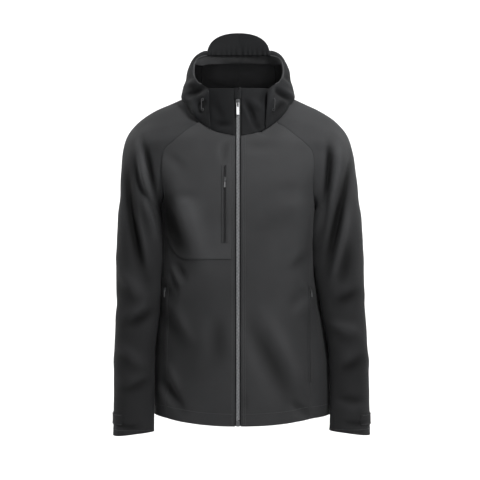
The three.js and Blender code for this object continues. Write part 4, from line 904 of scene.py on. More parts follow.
def sleeve_surface(label):
    """Cubic curves from the ring to the top section, then the arm's own sections to the cuff."""
    side = SIDE[label]
    ring, ring_normal, turns = sleeve_ring(side)
    droop = ease(-ring[:, 2], *DROOP_Z)[:, None]
    below = unit(np.array([side, 0, -0.45]))
    leave = unit(square_to(np.array([side, 0, 0.0]), ring_normal) * (1 - droop) + below * droop)
    top = arm_point(label, turns, np.full(len(turns), float(ARM_TOP)))
    down = unit(arm_point(label, turns, np.full(len(turns), ARM_TOP - 12.0)) - top)
    chord = np.linalg.norm(top - ring, axis=-1)[:, None]
    high = ease(np.cos(np.radians(turns)), -0.3, 1)[:, None]
    start = ring + leave * chord * mix(1, SHOULDER[label], high) / 3
    arrive = top - down * chord * mix(1, ARRIVE_PULL, high) / 3
    cap = cubic(ring[:, None], start[:, None], arrive[:, None], top[:, None], CAP_STEPS[None, :, None])
    end = ARM[label]["z"][0]
    heights = steps(ARM_TOP, end + CUFF_FINE, 92, end, 20)[1:]
    arm = arm_point(label, turns[:, None], heights[None, :])
    points = np.concatenate([cap, arm], 1)
    around = np.roll(points, -1, 0) - np.roll(points, 1, 0)
    along = np.gradient(points, axis=1)
    normals = unit(np.cross(around, along))
    centre = points.mean(0, keepdims=True)
    normals *= np.sign((normals * (points - centre)).sum())
    down_cap = np.concatenate([CAP_STEPS, np.ones(len(heights))])
    blend = ease(down_cap, 0, 0.3)[None, :, None]
    normals = unit(mix(unit(ring_normal[:, None] + normals[:, :1]), normals, blend))
    height = np.zeros(points.shape[:2])
    for a0, z0, a1, z1, width, depth in ARM_FOLDS[label]:
        middle = (a0 + a1) / 2
        turn = np.mod(turns[:, None] - middle + 180, 360) - 180 + middle
        height += fold_height(turn, points[..., 2], (a0, z0, a1, z1, width, depth))
    fade = ease(down_cap, 0, 1)
    turned = np.mod(turns, 360)
    inner = ease(turned, *BODY_SIDE[0]) * (1 - ease(turned, *BODY_SIDE[1]))
    keep = 1 - inner[:, None] * fade[None]
    height = np.where(height < 0, height * keep, height)
    return points + normals * (height * fade)[..., None], normals, fade, keep


sleeves = {}
for label in SIDE:
    points, normals, fade, keep = sleeve_surface(label)
    height = crease_height(points, normals) * mix(SHOULDER_CREASE, 1, fade)[None] + ripple(points)
    height = np.where(height < 0, height * mix(BODY_SIDE_CREASE, 1, keep), height)
    points = points + normals * height[..., None]
    sleeves[label] = (points, normals)
    dress(f"shell_sleeve_{label}", points, normals, "sleeve", ring=True,
          rests_on=[f"shell_front_{label}", "shell_back"], stands_for=f"sleeve_{label}")

# %% [markdown]
# The collar is a stand that rises from the neck seam. The hood starts outside it, climbs past it
# and rolls over to its face opening, so the two lie one inside the other at the throat.

# %% Collar
COLLAR_TOP = {"half": 99, "front": 105, "z": 15, "rise": 8}
COLLAR_END = 78
COLLAR_EDGE = 7.4  # the collar stands a little further from the zip than the fronts do
COLLAR_ROWS = np.linspace(0, 1, 34)


def collar_point(signed, t):
    """A straight line from the neck seam to a superellipse at the stand's top edge."""
    side = np.where(signed < 0, -1, 1)
    turn = np.radians(np.abs(signed))
    x = side * COLLAR_TOP["half"] * rounded(np.sin(turn), 2.1)
    y = -COLLAR_TOP["front"] * rounded(np.cos(turn), 2.1)
    z = COLLAR_TOP["z"] + COLLAR_TOP["rise"] * (1 - np.cos(turn))
    top = np.stack(np.broadcast_arrays(x, y, z), -1)
    return mix(neck_point(signed) + np.array([0, 0, 0.45]), top, t[..., None])


def normals_away(points, centre):
    """Normals of a grid from its own steps, turned away from a centre."""
    normal = unit(np.cross(np.gradient(points, axis=0), np.gradient(points, axis=1)))
    return normal * np.sign((normal * (points - centre)).sum(-1, keepdims=True))


NECK_CENTRE = np.array([0, 0, -20.0])
collars = {}
for label, side in SIDE.items():
    start = float(np.interp(COLLAR_EDGE, neck_plan(NECK_FINE[:400])[0], NECK_FINE[:400]))
    degrees = np.linspace(start, COLLAR_END, 56)
    points = collar_point(side * degrees[:, None], COLLAR_ROWS[None, :] * np.ones((len(degrees), 1)))
    points[0, :, 0] = side * COLLAR_EDGE
    normals = normals_away(points, NECK_CENTRE)
    collars[label] = (points, normals)
    dress(f"shell_collar_{label}", *creased(points, normals, 0.8), "shell",
          rests_on=[f"shell_front_{label}"], stands_for=f"collar_{label}")

# %% Hood
HOOD_START = 30
HOOD_SEAM = 137
HOOD_ROWS = np.linspace(0, 1, 60)
HOOD_CLEAR = 3.0
HOOD_FOOT = {"front": 0.9, "shoulder": -2.2}  # height over the neck seam
HOOD_FOOT_TURNS = (45, 70)
HOOD_CENTRE = np.array([0, 20, 20.0])
COLLAR_REACH = (80, 88)  # turns where the hood leaves the collar's ends behind


def hood_edge(signed):
    degrees = np.abs(signed)
    side = np.where(signed < 0, -1, 1)
    x = side * read(HOOD, degrees, "x", "angle") + ease(degrees, HOOD_START, 60)
    return np.stack([x, read(HOOD, degrees, "y", "angle"), read(HOOD, degrees, "z", "angle")], -1)


def clear_of_collar(points):
    """Moves a point out, away from the upright axis, where the hood would come too near the collar."""
    degrees = np.degrees(np.arctan2(np.abs(points[..., 0]) / 112, -points[..., 1] / 116))
    signed = np.minimum(degrees, COLLAR_REACH[1]) * np.where(points[..., 0] < 0, -1, 1)
    foot = collar_point(signed, np.zeros_like(degrees))[..., 2]
    top = collar_point(signed, np.ones_like(degrees))[..., 2]
    t = (points[..., 2] - foot) / (top - foot)
    collar = collar_point(signed, np.maximum(t, 0))
    needed = np.hypot(collar[..., 0], collar[..., 1]) + HOOD_CLEAR * (1 - ease(degrees, *COLLAR_REACH))
    radius = np.hypot(points[..., 0], points[..., 1])
    near = (degrees <= COLLAR_REACH[1]) & (t <= 1.1)
    push = np.where(near & (radius < needed), needed / radius, 1)
    return points * np.stack([push, push, np.ones_like(push)], -1)


def hood_point(signed, t):
    """Cubic curve from just outside the neck seam, out along A and in along B, to the opening's edge."""
    side = np.where(signed < 0, -1, 1)
    degrees = np.abs(signed)
    start = neck_point(signed)
    radius = np.hypot(start[..., 0], start[..., 1])
    out = (radius + WALL + 0.7) / radius
    start = start * np.stack([out, out, np.ones_like(out)], -1)
    start[..., 2] += mix(HOOD_FOOT["front"], HOOD_FOOT["shoulder"], ease(degrees, *HOOD_FOOT_TURNS))
    end = hood_edge(signed)
    column = lambda name: read(HOOD, degrees, name, "angle")
    leave = start + np.stack([side * column("outA"), column("backA"), column("upA")], -1)
    arrive = end + np.stack([side * column("outB"), column("backB"), column("upB")], -1)
    return clear_of_collar(cubic(start, leave, arrive, end, t[..., None]))


def hood_place(signed, rows):
    across = signed[:, None] * np.ones((1, len(rows)))
    points = hood_point(across, rows[None, :] * np.ones((len(signed), 1)))
    return points, normals_away(points, HOOD_CENTRE)


def signed_turn(degrees):
    """Degrees past 180 come round as negative ones."""
    return np.where(degrees <= 180, degrees, degrees - 360)


hood_parts = {
    "hood_left": np.linspace(HOOD_START, HOOD_SEAM, 78),
    "hood_centre": signed_turn(np.linspace(HOOD_SEAM, 360 - HOOD_SEAM, 72)),
    "hood_right": -np.linspace(HOOD_START, HOOD_SEAM, 78),
}
for name, degrees in hood_parts.items():
    points, normals = hood_place(degrees, HOOD_ROWS)
    still = np.ones(points.shape[:2])
    if name != "hood_centre":
        still *= ease(np.abs(degrees), HOOD_START, HOOD_START + 12)[:, None]
    dress(f"shell_{name}", *creased(points, normals, still), "shell", held="folded",
          rests_on=["shell_back", "shell_collar_left", "shell_collar_right"], stands_for=name)

# %% [markdown]
# A band of lining is sewn inside the hood's edge as a channel for the draw cord. The peak is a
# second, half-round flap on the same edge. It is turned up, and its root is drawn into gathers.

# %% Facing and peak
FACING = {"from": 78, "width": 22, "lift": -WALL - 0.9, "bulge": 1.0, "hang": (0, 0.6, -0.8),
          "hang_turns": (96, 130)}
PEAK = {"height": 49, "power": 2.15, "lean": 12, "gathers": 13, "wave": 1.3, "spread": 1.045,
        "tuck": 2.5, "least": 5}


def facing_surface():
    """The hood's surface in a band inside its edge; at the top the band hangs, as its cord draws it in."""
    degrees = signed_turn(np.linspace(FACING["from"], 360 - FACING["from"], 150))
    points, normals = hood_place(degrees, np.linspace(0.5, 1, 120))
    length = np.cumsum(np.linalg.norm(np.diff(points[:, ::-1], axis=1), axis=-1), axis=1)
    back = np.concatenate([np.zeros((len(degrees), 1)), length], 1)
    wanted = np.linspace(1, FACING["width"], 16)
    row = np.stack([np.interp(wanted, line, np.arange(120)) for line in back])
    low = np.minimum(row.astype(int), 118)
    part = (row - low)[..., None]
    pick = np.arange(len(degrees))[:, None]
    outer, out_normal = points[:, ::-1], normals[:, ::-1]
    points = mix(outer[pick, low], outer[pick, low + 1], part)
    normals = unit(mix(out_normal[pick, low], out_normal[pick, low + 1], part))
    channel = np.sin(np.pi * np.linspace(0, 1, 16)) * FACING["bulge"]
    points = points + normals * (FACING["lift"] - channel)[None, :, None]
    hang = points[:, :1] + (wanted - wanted[0])[None, :, None] * unit(np.array(FACING["hang"]))
    points = mix(points, hang, ease(np.abs(degrees), *FACING["hang_turns"])[:, None, None])
    return points, normals_away(points, HOOD_CENTRE)


points, normals = facing_surface()
dress("hood_band", *creased(points, normals), "lining", thickness=THIN, held="folded",
      rests_on=["shell_hood_centre"], stands_for="hood_facing")


def peak_surface():
    """Half-round outline as a superellipse; the gathers are cosine waves that die out upwards."""
    u = np.linspace(0, 1, 181)[:, None]
    v = np.linspace(0, 1, 30)[None, :]
    root = hood_edge(signed_turn(mix(HOOD_SEAM + 1, 359 - HOOD_SEAM, u[:, 0])))
    across = np.minimum(np.abs(2 * u - 1), 1)
    height = PEAK["height"] * (1 - across ** PEAK["power"]) ** (1 / PEAK["power"])
    height = np.maximum(height, PEAK["least"])
    uneven = 1 + 0.45 * np.sin(2 * math.pi * 2.3 * u + 0.8)
    wander = u + 0.012 * np.sin(2 * math.pi * 3.1 * u)
    gather = PEAK["wave"] * uneven * np.cos(2 * math.pi * PEAK["gathers"] * wander) * (1 - v) ** 4
    bend = PEAK["lean"] * v**2
    y = root[:, 1:2] - WALL - PEAK["wave"] - 0.4 + bend + gather - 1.5 * across**2 * v
    z = root[:, 2:] - PEAK["tuck"] + (height + PEAK["tuck"]) * v
    return np.stack(np.broadcast_arrays(root[:, :1] * PEAK["spread"], y, z), -1)


points = peak_surface()
dress("peak", points, normals_away(points, np.array([0, 400, 60.0])), "shell", held="gathered",
      rests_on=["shell_hood_centre"], stands_for="hood_peak")

# %% [markdown]
# The rim of a face opening is bound: a narrow strip is folded over the raw edge. A tube a little
# thicker than the wall, carried along the edge, gives the fine light line that such a rim shows.

# %% Bound rim of the hood
RIM = {"radius": 1.6, "from": 66, "to": 136}


def tube_along(name, line, radius, sections=8):
    """Circles of one radius, each square to the line, with their ends drawn to a point."""
    run = unit(np.gradient(line, axis=0))
    first = unit(np.cross(run, np.array([0, 1.0, 0.2])))
    second = np.cross(run, first)
    ring = np.linspace(0, 2 * math.pi, sections, endpoint=False)[:, None, None]
    size = np.ones(len(line))
    size[[0, -1]] = 0.02
    points = line[None] + radius * size[None, :, None] * (np.cos(ring) * first + np.sin(ring) * second)
    return mesh_object(name, points * MM, grid_faces(sections, len(line), wrap=True))


rims = []
for label, side in SIDE.items():
    degrees = side * np.linspace(RIM["from"], RIM["to"], 120)
    line, line_normal = hood_place(degrees, np.array([0.97, 1.0]))
    middle = line[:, 1] - line_normal[:, 1] * WALL / 2
    rims.append(attach(tube_along(f"rim_{label}", middle, RIM["radius"]), "shell"))
print("rims:", len(rims))

# %% [markdown]
# The chest overlay is cut from the same surface as the right front and lies a fraction of a
# millimetre above it. Its lower outer corner is a quarter of an ellipse.

# %% Chest overlay
CORNER = {"from": 112, "to": 150, "rise": 55}
OVERLAY_TOP = 0.9925
OVERLAY_SPAN = (0.0659, 0.988)
OVERLAY_LIFT = 1.7


def chest_surface():
    """For each column of the front, the rows from the overlay's lower edge up to the neck seam."""
    columns = steps(OVERLAY_SPAN[0], STRAIGHT_U, 8, OVERLAY_SPAN[1], 52)
    fine = np.linspace(0.3, 1, 400)
    grid, _ = front_place(-1, columns[:, None], fine[None, :])
    x = np.abs(grid[:, 120, 0])
    t = np.clip((x - CORNER["from"]) / (CORNER["to"] - CORNER["from"]), 0, 0.985)
    foot = CHEST_PANEL_Z + CORNER["rise"] * (1 - np.sqrt(1 - t * t))
    start = np.array([np.interp(z, line, fine) for z, line in zip(foot, grid[..., 2])])
    v = mix(start[:, None], OVERLAY_TOP, np.linspace(0, 1, 96)[None, :])
    points, normals = front_place(-1, columns[:, None] * np.ones((1, 96)), v)
    return creased(points, normals)


points, normals = chest_surface()
dress("chest_overlay", points + normals * OVERLAY_LIFT, normals, "shell", thickness=THIN,
      held="laid", rests_on=["shell_front_right"], stands_for="chest_panel")

# %% [markdown]
# A pocket opening is two narrow welts with a zip between them. The strips are found on the body by
# their x and z, and lifted clear of the panel that they are sewn to.

# %% Pocket welts and zip tapes
CHEST_WELT = {"near": 2.4, "far": 7.0, "lift": 3.1}
HAND_WELT = {"near": 0.7, "far": 5.2, "lift": 1.5}
BODY_RADIUS = 155  # a step along the side seam's skin over this is its turn round the body


def strip_on_front(side, x, z, lift):
    """A grid of places on the front by x and z, creased like the panel below and lifted from it."""
    x, z = np.broadcast_arrays(x, z)
    points, normals = creased(*body_place(angle_at(side * np.abs(x), z, "front"), z))
    return points + normals * lift, normals


chest_rows = np.linspace(CHEST_ZIP["foot"], CHEST_ZIP["top"], 70)[None, :]
CHEST_X = abs(CHEST_ZIP["x"])
for name, inner, outer in (("chest_welt_inner", CHEST_WELT["far"], CHEST_WELT["near"]),
                           ("chest_welt_outer", -CHEST_WELT["near"], -CHEST_WELT["far"])):
    across = np.linspace(CHEST_X - inner, CHEST_X - outer, 7)[:, None]
    strip = strip_on_front(-1, across, chest_rows, CHEST_WELT["lift"])
    dress(name + "_cloth", *strip, "shell", thickness=THIN,
          held="laid", rests_on=["chest_overlay"], stands_for=name)


def seam_strip(side, low, high, lift):
    """A strip along the front side seam: an offset either way round the body from the seam's own angle."""
    z = np.linspace(HAND_ZIP["foot"], HAND_ZIP["top"], 84)[None, :]
    offset = np.linspace(low, high, 7)[:, None] / BODY_RADIUS
    angle = angle_at(side * side_seam_x(z), z, "front") + side * offset
    points, normals = creased(*body_place(angle, z * np.ones((7, 1))))
    return points + normals * lift, normals


for label, side in SIDE.items():
    for part, low, high in (("front", -HAND_WELT["far"], -HAND_WELT["near"]),
                            ("side", HAND_WELT["near"], HAND_WELT["far"])):
        strip = seam_strip(side, low, high, HAND_WELT["lift"])
        dress(f"hand_welt_{label}_{part}", *strip, "shell", thickness=THIN,
              held="laid", rests_on=[f"shell_front_{label}"])


def centre_line():
    """The zip's line: up the middle between the fronts, then between the collars."""
    v = np.linspace(0, 0.997, 260)
    right, right_normal = creased(*front_place(-1, np.array([0.0]), v))
    left, left_normal = creased(*front_place(1, np.array([0.0]), v))
    low = (right + left) / 2
    low_normal = right_normal + left_normal
    high = (collars["right"][0][0] + collars["left"][0][0]) / 2
    high_normal = collars["right"][1][0] + collars["left"][1][0]
    points = np.concatenate([low, high[1:]])
    normals = np.concatenate([low_normal, high_normal[1:]])
    points[:, 0] = 0
    normals[:, 0] = 0
    for _ in range(3):
        points[1:-1, 1] = (points[:-2, 1] + 2 * points[1:-1, 1] + points[2:, 1]) / 4
    return points, unit(normals)


zip_points, zip_normals = centre_line()


def along_zip(z):
    """Places of the zip's line at heights z."""
    point = sample(zip_points, zip_points[:, 2], z)
    return point, unit(sample(zip_normals, zip_points[:, 2], z))


ZIP_FOOT = float(zip_points[0, 2])
CHAIN = {"foot": ZIP_FOOT + 12, "top": -11.0, "pitch": 2.9, "half": 3.5}
TAPE_WIDTH = 14
TAPE_TOP = 14
TEETH_BACK = 0.9  # the teeth stand on a woven strip this far behind the zip's line


def behind_zip(z, x, depth):
    """A flat strip behind the zip's line: heights z, offsets x across it."""
    point, normal = along_zip(z)
    points = np.broadcast_to(point - normal * depth, (len(x), len(z), 3)).copy()
    points[..., 0] = x[:, None]
    return points, np.broadcast_to(normal, points.shape).copy()


for label, side in SIDE.items():
    tape = behind_zip(np.linspace(ZIP_FOOT + 1, TAPE_TOP, 170),
                      side * np.linspace(0.4, TAPE_WIDTH, 7), WALL + 0.5)
    dress(f"tape_{label}", *tape, "tape", thickness=1.0, held="stretched",
          rests_on=[f"shell_front_{label}"], stands_for=f"zip_tape_{label}")
strip = behind_zip(np.linspace(CHAIN["foot"], CHAIN["top"], 160),
                   np.linspace(-CHAIN["half"], CHAIN["half"], 9), TEETH_BACK)
dress("zip_strip", *strip, "tape", thickness=0.9, rests_on=["tape_left", "tape_right"])

# %% [markdown]
# A zip's teeth and a seam's stitches are the same small solid set down hundreds of times. One
# tooth is worked out once, and an array of frames places all of its copies at the same time.

# %% Repeated small solids
TOOTH = {"wide": 4.0, "high": 1.75, "deep": 2.0, "shift": 1.5}
COIL_WIRE = 0.42  # radius of a coil's wire as a share of the coil's
THREAD = 0.36
STITCH = {"pitch": 3.2, "length": 2.5, "lift": 0.15}
HEM_STITCH = 26
ZIP_STITCH = {"right": [0.053], "left": [0.053, 0.082]}  # shares of the way across a front


def scatter(name, base, base_faces, places, across, along, out, smooth=True):
    """Copies of a small solid: its local x, y, z run along across, along and out at each place."""
    frames = np.stack([across, along, out], 1)
    points = np.einsum("kc,ncd->nkd", base, frames) + places[:, None]
    first = np.arange(len(places)) * len(base)
    faces = (base_faces[None] + first[:, None, None]).reshape(-1, base_faces.shape[1])
    return mesh_object(name, points * MM, faces, smooth)


def soft_box(width, height, depth, shoulder=0.28):
    """A box whose front rim is drawn in, as a moulded tooth's is: three rings of four and two caps."""
    rings = []
    for size, level in ((1, 0), (1, 0.62), (1 - shoulder, 1)):
        w, h = width / 2 * size, height / 2 * size
        rings.append([[x, y, depth * level] for x, y in ((-w, -h), (w, -h), (w, h), (-w, h))])
    vertices = np.array(rings).reshape(-1, 3)
    faces = [[3, 2, 1, 0], [8, 9, 10, 11]]
    for ring in (0, 4):
        for k in range(4):
            faces.append([ring + k, ring + (k + 1) % 4, ring + 4 + (k + 1) % 4, ring + 4 + k])
    return vertices, np.array(faces)


def teeth():
    """Two rows of teeth, half a pitch apart, each reaching just past the middle."""
    z = np.arange(CHAIN["foot"] + 1.5, CHAIN["top"] - 0.5, CHAIN["pitch"] / 2)
    point, normal = along_zip(z)
    turn = np.where(np.arange(len(z)) % 2 == 0, -1.0, 1.0)
    across = np.stack([turn, np.zeros(len(z)), np.zeros(len(z))], -1)
    along = unit(np.cross(normal, across))
    base, faces = soft_box(TOOTH["wide"], TOOTH["high"], TOOTH["deep"])
    base = base + np.array([TOOTH["shift"], 0, 0])
    places = point - normal * TEETH_BACK
    return scatter("zip_teeth", base, faces, places, across, along, normal, smooth=False)


zip_teeth = attach(teeth(), "zip", "zip_chain")


def coil(name, points, normals, radius, pitch, sections=6, per_turn=10):
    """A helix wound flat along a line: its centre moves up the line while it turns."""
    length = run_length(points)
    turns = length[-1] / pitch
    at = np.linspace(0, length[-1], int(turns * per_turn))
    centre = sample(points, length, at)
    normal = unit(sample(normals, length, at))
    run = unit(np.gradient(centre, axis=0))
    across = np.cross(run, normal)
    turn = (2 * math.pi * at / pitch)[:, None]
    spine = centre + across * radius * 1.5 * np.cos(turn) + normal * radius * 0.7 * np.sin(turn)
    step = unit(np.gradient(spine, axis=0))
    first = unit(np.cross(step, run))
    second = np.cross(step, first)
    ring = np.linspace(0, 2 * math.pi, sections, endpoint=False)[:, None, None]
    tube = spine[None] + radius * COIL_WIRE * (np.cos(ring) * first + np.sin(ring) * second)
    return mesh_object(name, tube * MM, grid_faces(sections, len(at), wrap=True))


z = np.linspace(CHEST_ZIP["foot"] + 1, CHEST_ZIP["top"] - 1, 120)
line, line_normal = strip_on_front(-1, np.full(120, float(CHEST_X)), z, 2.4)
attach(coil("chest_coil", line, line_normal, 1.15, 1.5), "zip", "chest_zip")
for label, side in SIDE.items():
    strip, strip_normal = seam_strip(side, -0.1, 0.1, 0.5)
    hand_coil = coil(f"hand_coil_{label}", strip[3], strip_normal[3], 0.9, 1.5, per_turn=8)
    attach(hand_coil, "tape", f"hand_zip_{label}")


def stitches(name, line, normal):
    """Evenly spaced stitches along a line of places on the cloth."""
    run = run_length(line)
    at = np.arange(STITCH["pitch"] / 2, run[-1] - STITCH["pitch"] / 2, STITCH["pitch"])
    place = sample(line, run, at)
    out = unit(sample(normal, run, at))
    along = square_to(sample(line, run, at + 0.5) - place, out)
    ring = np.linspace(0, 2 * math.pi, 6, endpoint=False)
    rows = []
    for spot, size, level in ((-1, 0.3, -0.8), (-0.6, 1, 0.2), (0.6, 1, 0.2), (1, 0.3, -0.8)):
        rows.append(np.stack([np.cos(ring) * size * THREAD, np.full(6, spot * STITCH["length"] / 2),
                              (np.sin(ring) * size + level) * THREAD], -1))
    base = np.concatenate(rows)
    k = np.arange(6)
    after = (k + 1) % 6
    faces = np.concatenate([np.stack([k, after, 6 + after, 6 + k], -1) + r * 6 for r in range(3)])
    piece = scatter(name, base, faces, place + out * STITCH["lift"], np.cross(along, out), along, out)
    return attach(piece, "tape")


seam_threads = []
for label, side in SIDE.items():
    rows = np.linspace(0.004, 0.994, 260)
    for count, offset in enumerate(ZIP_STITCH[label]):
        line, normal = creased(*front_place(side, np.array([offset]), rows))
        seam_threads.append(stitches(f"zip_stitch_{label}_{count + 1}", line, normal))
    x = np.linspace(8, 150, 90)
    line, normal = strip_on_front(side, x, hem_z(x) + HEM_STITCH, 0)
    seam_threads.append(stitches(f"hem_stitch_front_{label}", line, normal))
    t = np.linspace(0.02, 0.98, 60)
    line, normal = side_place(side, t, np.zeros(60) + 0.052)
    seam_threads.append(stitches(f"hem_stitch_side_{label}", *creased(line, normal)))
x = np.linspace(-150, 150, 180)
z = hem_z(x, "back") + HEM_STITCH
line, normal = creased(*body_place(angle_at(np.where(np.abs(x) < 1e-6, 1e-6, x), z, "back"), z))
seam_threads.append(stitches("hem_stitch_back", line, normal))

# %% Cuffs and their tabs
TAB = {"top": -673, "foot": -697, "from": -100, "to": 68, "lift": 1.9, "inset": 2.5}
CUFF_STITCH = 9.0
BELOW_SHOULDER = 40  # rows of a sleeve's grid that lie above any cuff


def sleeve_rows(label, heights, first, last):
    """Places on a sleeve's own cloth between two turns, at heights of its sections."""
    points, normals = sleeves[label]
    _, _, turns = sleeve_ring(SIDE[label])
    order = np.argsort(np.mod(turns, 360))
    around = np.mod(turns, 360)[order]
    degrees = np.linspace(first, last, 54)
    column = np.interp(np.mod(degrees, 360), around, np.arange(len(around)))
    low = column.astype(int) % len(around)
    high = (low + 1) % len(around)
    part = (column - np.floor(column))[:, None, None]
    lines = mix(points[order[low]], points[order[high]], part)
    line_normals = unit(mix(normals[order[low]], normals[order[high]], part))
    result, result_normal = [], []
    for spots, outward in zip(lines[:, BELOW_SHOULDER:], line_normals[:, BELOW_SHOULDER:]):
        result.append(sample(spots, -spots[:, 2], -heights))
        result_normal.append(sample(outward, -spots[:, 2], -heights))
    return np.array(result), unit(np.array(result_normal))


for label in SIDE:
    heights = np.linspace(TAB["foot"], TAB["top"], 9)
    points, normals = sleeve_rows(label, heights, TAB["from"], TAB["to"])
    dress(f"tab_{label}", points + normals * TAB["lift"], normals, "sleeve", thickness=1.4, held="laid",
          rests_on=[f"shell_sleeve_{label}"], stands_for=f"cuff_tab_{label}")
    for count, z in enumerate((TAB["foot"] + TAB["inset"], TAB["top"] - TAB["inset"])):
        line, normal = sleeve_rows(label, np.array([z]), TAB["from"] + 2, TAB["to"] - 2)
        line = line + normal * TAB["lift"]
        seam_threads.append(stitches(f"tab_stitch_{label}_{count + 1}", line[:, 0], normal[:, 0]))
    foot = ARM[label]["z"][0]
    for count, (first, last) in enumerate(((-178, -2), (2, 178))):
        line, normal = sleeve_rows(label, np.array([foot + CUFF_STITCH]), first, last)
        seam_threads.append(stitches(f"cuff_stitch_{label}_{count + 1}", line[:, 0], normal[:, 0]))

# %% Garage over the zip's end
GARAGE = {"half": 7.5, "foot": -9, "top": 16, "bulge": 2.0, "lift": 1.8, "crest": 2.6, "sharp": 0.2}


def garage_surface():
    """A short fold across the zip: a parabola across it, lifted clear of the slider below."""
    z = np.linspace(GARAGE["foot"], GARAGE["top"], 24)
    point, normal = along_zip(z)
    u = np.linspace(-1, 1, 21)[:, None]
    crest = mix(-0.3, 0.6, (z - GARAGE["foot"]) / (GARAGE["top"] - GARAGE["foot"]))
    fold = GARAGE["crest"] * np.exp(-(((u - crest) / GARAGE["sharp"]) ** 2))
    rise = GARAGE["lift"] + GARAGE["bulge"] * (1 - u * u) + fold
    x = GARAGE["half"] * u * np.ones(len(z))
    points = np.stack([x, point[:, 1] + normal[:, 1] * rise, point[:, 2] + normal[:, 2] * rise], -1)
    return points, normals_away(points, NECK_CENTRE)


dress("garage", *garage_surface(), "shell", thickness=THIN, held="folded",
      rests_on=["shell_collar_left"], stands_for="zip_garage")

# %% [markdown]
# Softshell is a dense plain weave bonded to fleece. Close to, it shows threads and a slight
# heather; further off, only a dull sheen at grazing angles. One group makes the weave from the
# panel's own map, so it follows the cloth, and each material sets its size and strength.

# %% Shader groups


# Painted shade: how much a full crease trough darkens the cloth's colour, and the heights over which the
# colour darkens downwards, standing in for the falloff of the key light from above.
CREASE_SHADE_SHARE = 0.88
SHADE_FALL_FROM, SHADE_FALL_TO = -0.14, -0.34  # metres: heights where the painted shade of the light's falloff starts and ends
SLUB_SCALE = 620
PATCH_SCALE = 9


def shader_group(name, inputs, outputs):
    """A node group with named sockets; each input is a name, a kind and a default."""
    group = bpy.data.node_groups.new(name, "ShaderNodeTree")
    for label, kind, default in inputs:
        socket = group.interface.new_socket(label, in_out="INPUT", socket_type="NodeSocket" + kind)
        if default is not None:
            socket.default_value = default
    for label, kind in outputs:
        group.interface.new_socket(label, in_out="OUTPUT", socket_type="NodeSocket" + kind)
    return group, group.nodes.new("NodeGroupInput").outputs, group.nodes.new("NodeGroupOutput")


def feed(tree, target, inputs):
    """Fills inputs of a node by name or number, each from a value or from another node's output."""
    for key, value in inputs.items():
        if isinstance(value, bpy.types.NodeSocket):
            tree.links.new(value, target.inputs[key])
        else:
            target.inputs[key].default_value = value
    return target


def node(tree, kind, inputs, **settings):
    made = tree.nodes.new(kind)
    for key, value in settings.items():
        setattr(made, key, value)
    return feed(tree, made, inputs).outputs


def maths(tree, operation, *values):
    return node(tree, "ShaderNodeMath", dict(enumerate(values)), operation=operation)[0]


def product(tree, first, second):
    return maths(tree, "MULTIPLY", first, second)


def weave_group():
    """Plain weave: the product of two sine waves across and along, with uneven threads from noise."""
    group, given, result = shader_group(
        "plain_weave", [("Map", "Vector", None), ("Threads", "Float", 900.0), ("Slub", "Float", 0.3)],
        [("Height", "Float"), ("Heather", "Float")])
    split = node(group, "ShaderNodeSeparateXYZ", {0: given["Map"]})
    waves = [maths(group, "SINE", product(group, product(group, split[axis], given["Threads"]), math.pi))
             for axis in (0, 1)]
    woven = product(group, waves[0], waves[1])
    noise = node(group, "ShaderNodeTexNoise", {"Scale": SLUB_SCALE, "Detail": 3, "Vector": given["Map"]})
    slub = product(group, maths(group, "SUBTRACT", noise["Fac"], 0.5), given["Slub"])
    height = maths(group, "ADD", product(group, woven, 0.5), slub)
    feed(group, result, {"Height": height, "Heather": noise["Fac"]})
    return group


def cloth_tone_and_shade_group():
    """Base to light by slow noise and heather; painted shade: one less the trough's share, darker lower
    down.
    """
    group, given, result = shader_group(
        "cloth_tone_and_shade", [
            ("Place", "Vector", None), ("Heather", "Float", 0.5), ("CreaseShade", "Float", 0.0),
            ("ShadeFall", "Float", 0.0), ("Base", "Color", (0.03, 0.03, 0.03, 1)),
            ("Light", "Color", (0.05, 0.05, 0.05, 1)),
        ], [("Color", "Color"), ("Roughness", "Float")])
    slow = node(group, "ShaderNodeTexNoise", {"Scale": PATCH_SCALE, "Detail": 5, "Vector": given["Place"]})
    part = maths(group, "ADD", product(group, slow["Fac"], 0.55), product(group, given["Heather"], 0.45))
    curve = node(group, "ShaderNodeMapRange", {"From Min": 0.35, "From Max": 0.68, "Value": part})
    tones = {"Factor": curve["Result"], "A": given["Base"], "B": given["Light"]}
    blend = node(group, "ShaderNodeMix", tones, data_type="RGBA")
    # painted shade: darker in crease troughs, and darker lower down by each cloth's share of the falloff
    trough = maths(group, "SUBTRACT", 1, product(group, given["CreaseShade"], CREASE_SHADE_SHARE))
    split = node(group, "ShaderNodeSeparateXYZ", {0: given["Place"]})
    heights = {"From Min": SHADE_FALL_FROM, "From Max": SHADE_FALL_TO, "Value": split["Z"]}
    low = node(group, "ShaderNodeMapRange", heights, interpolation_type="SMOOTHSTEP")
    shade_fall = maths(group, "SUBTRACT", 1, product(group, low["Result"], given["ShadeFall"]))
    shaded = node(group, "ShaderNodeVectorMath",
                  {0: blend["Result"], "Scale": product(group, trough, shade_fall)}, operation="SCALE")
    rough = maths(group, "ADD", 0.66, product(group, slow["Fac"], 0.2))
    feed(group, result, {"Color": shaded["Vector"], "Roughness": rough})
    return group


weave = weave_group()
cloth_tone_and_shade = cloth_tone_and_shade_group()


def plain_material(name):
    """A material with its node tree, its shader and the outputs of its coordinates."""
    material = bpy.data.materials.new(name)
    material.use_nodes = True
    tree = material.node_tree
    return material, tree, tree.nodes["Principled BSDF"], node(tree, "ShaderNodeTexCoord", {})


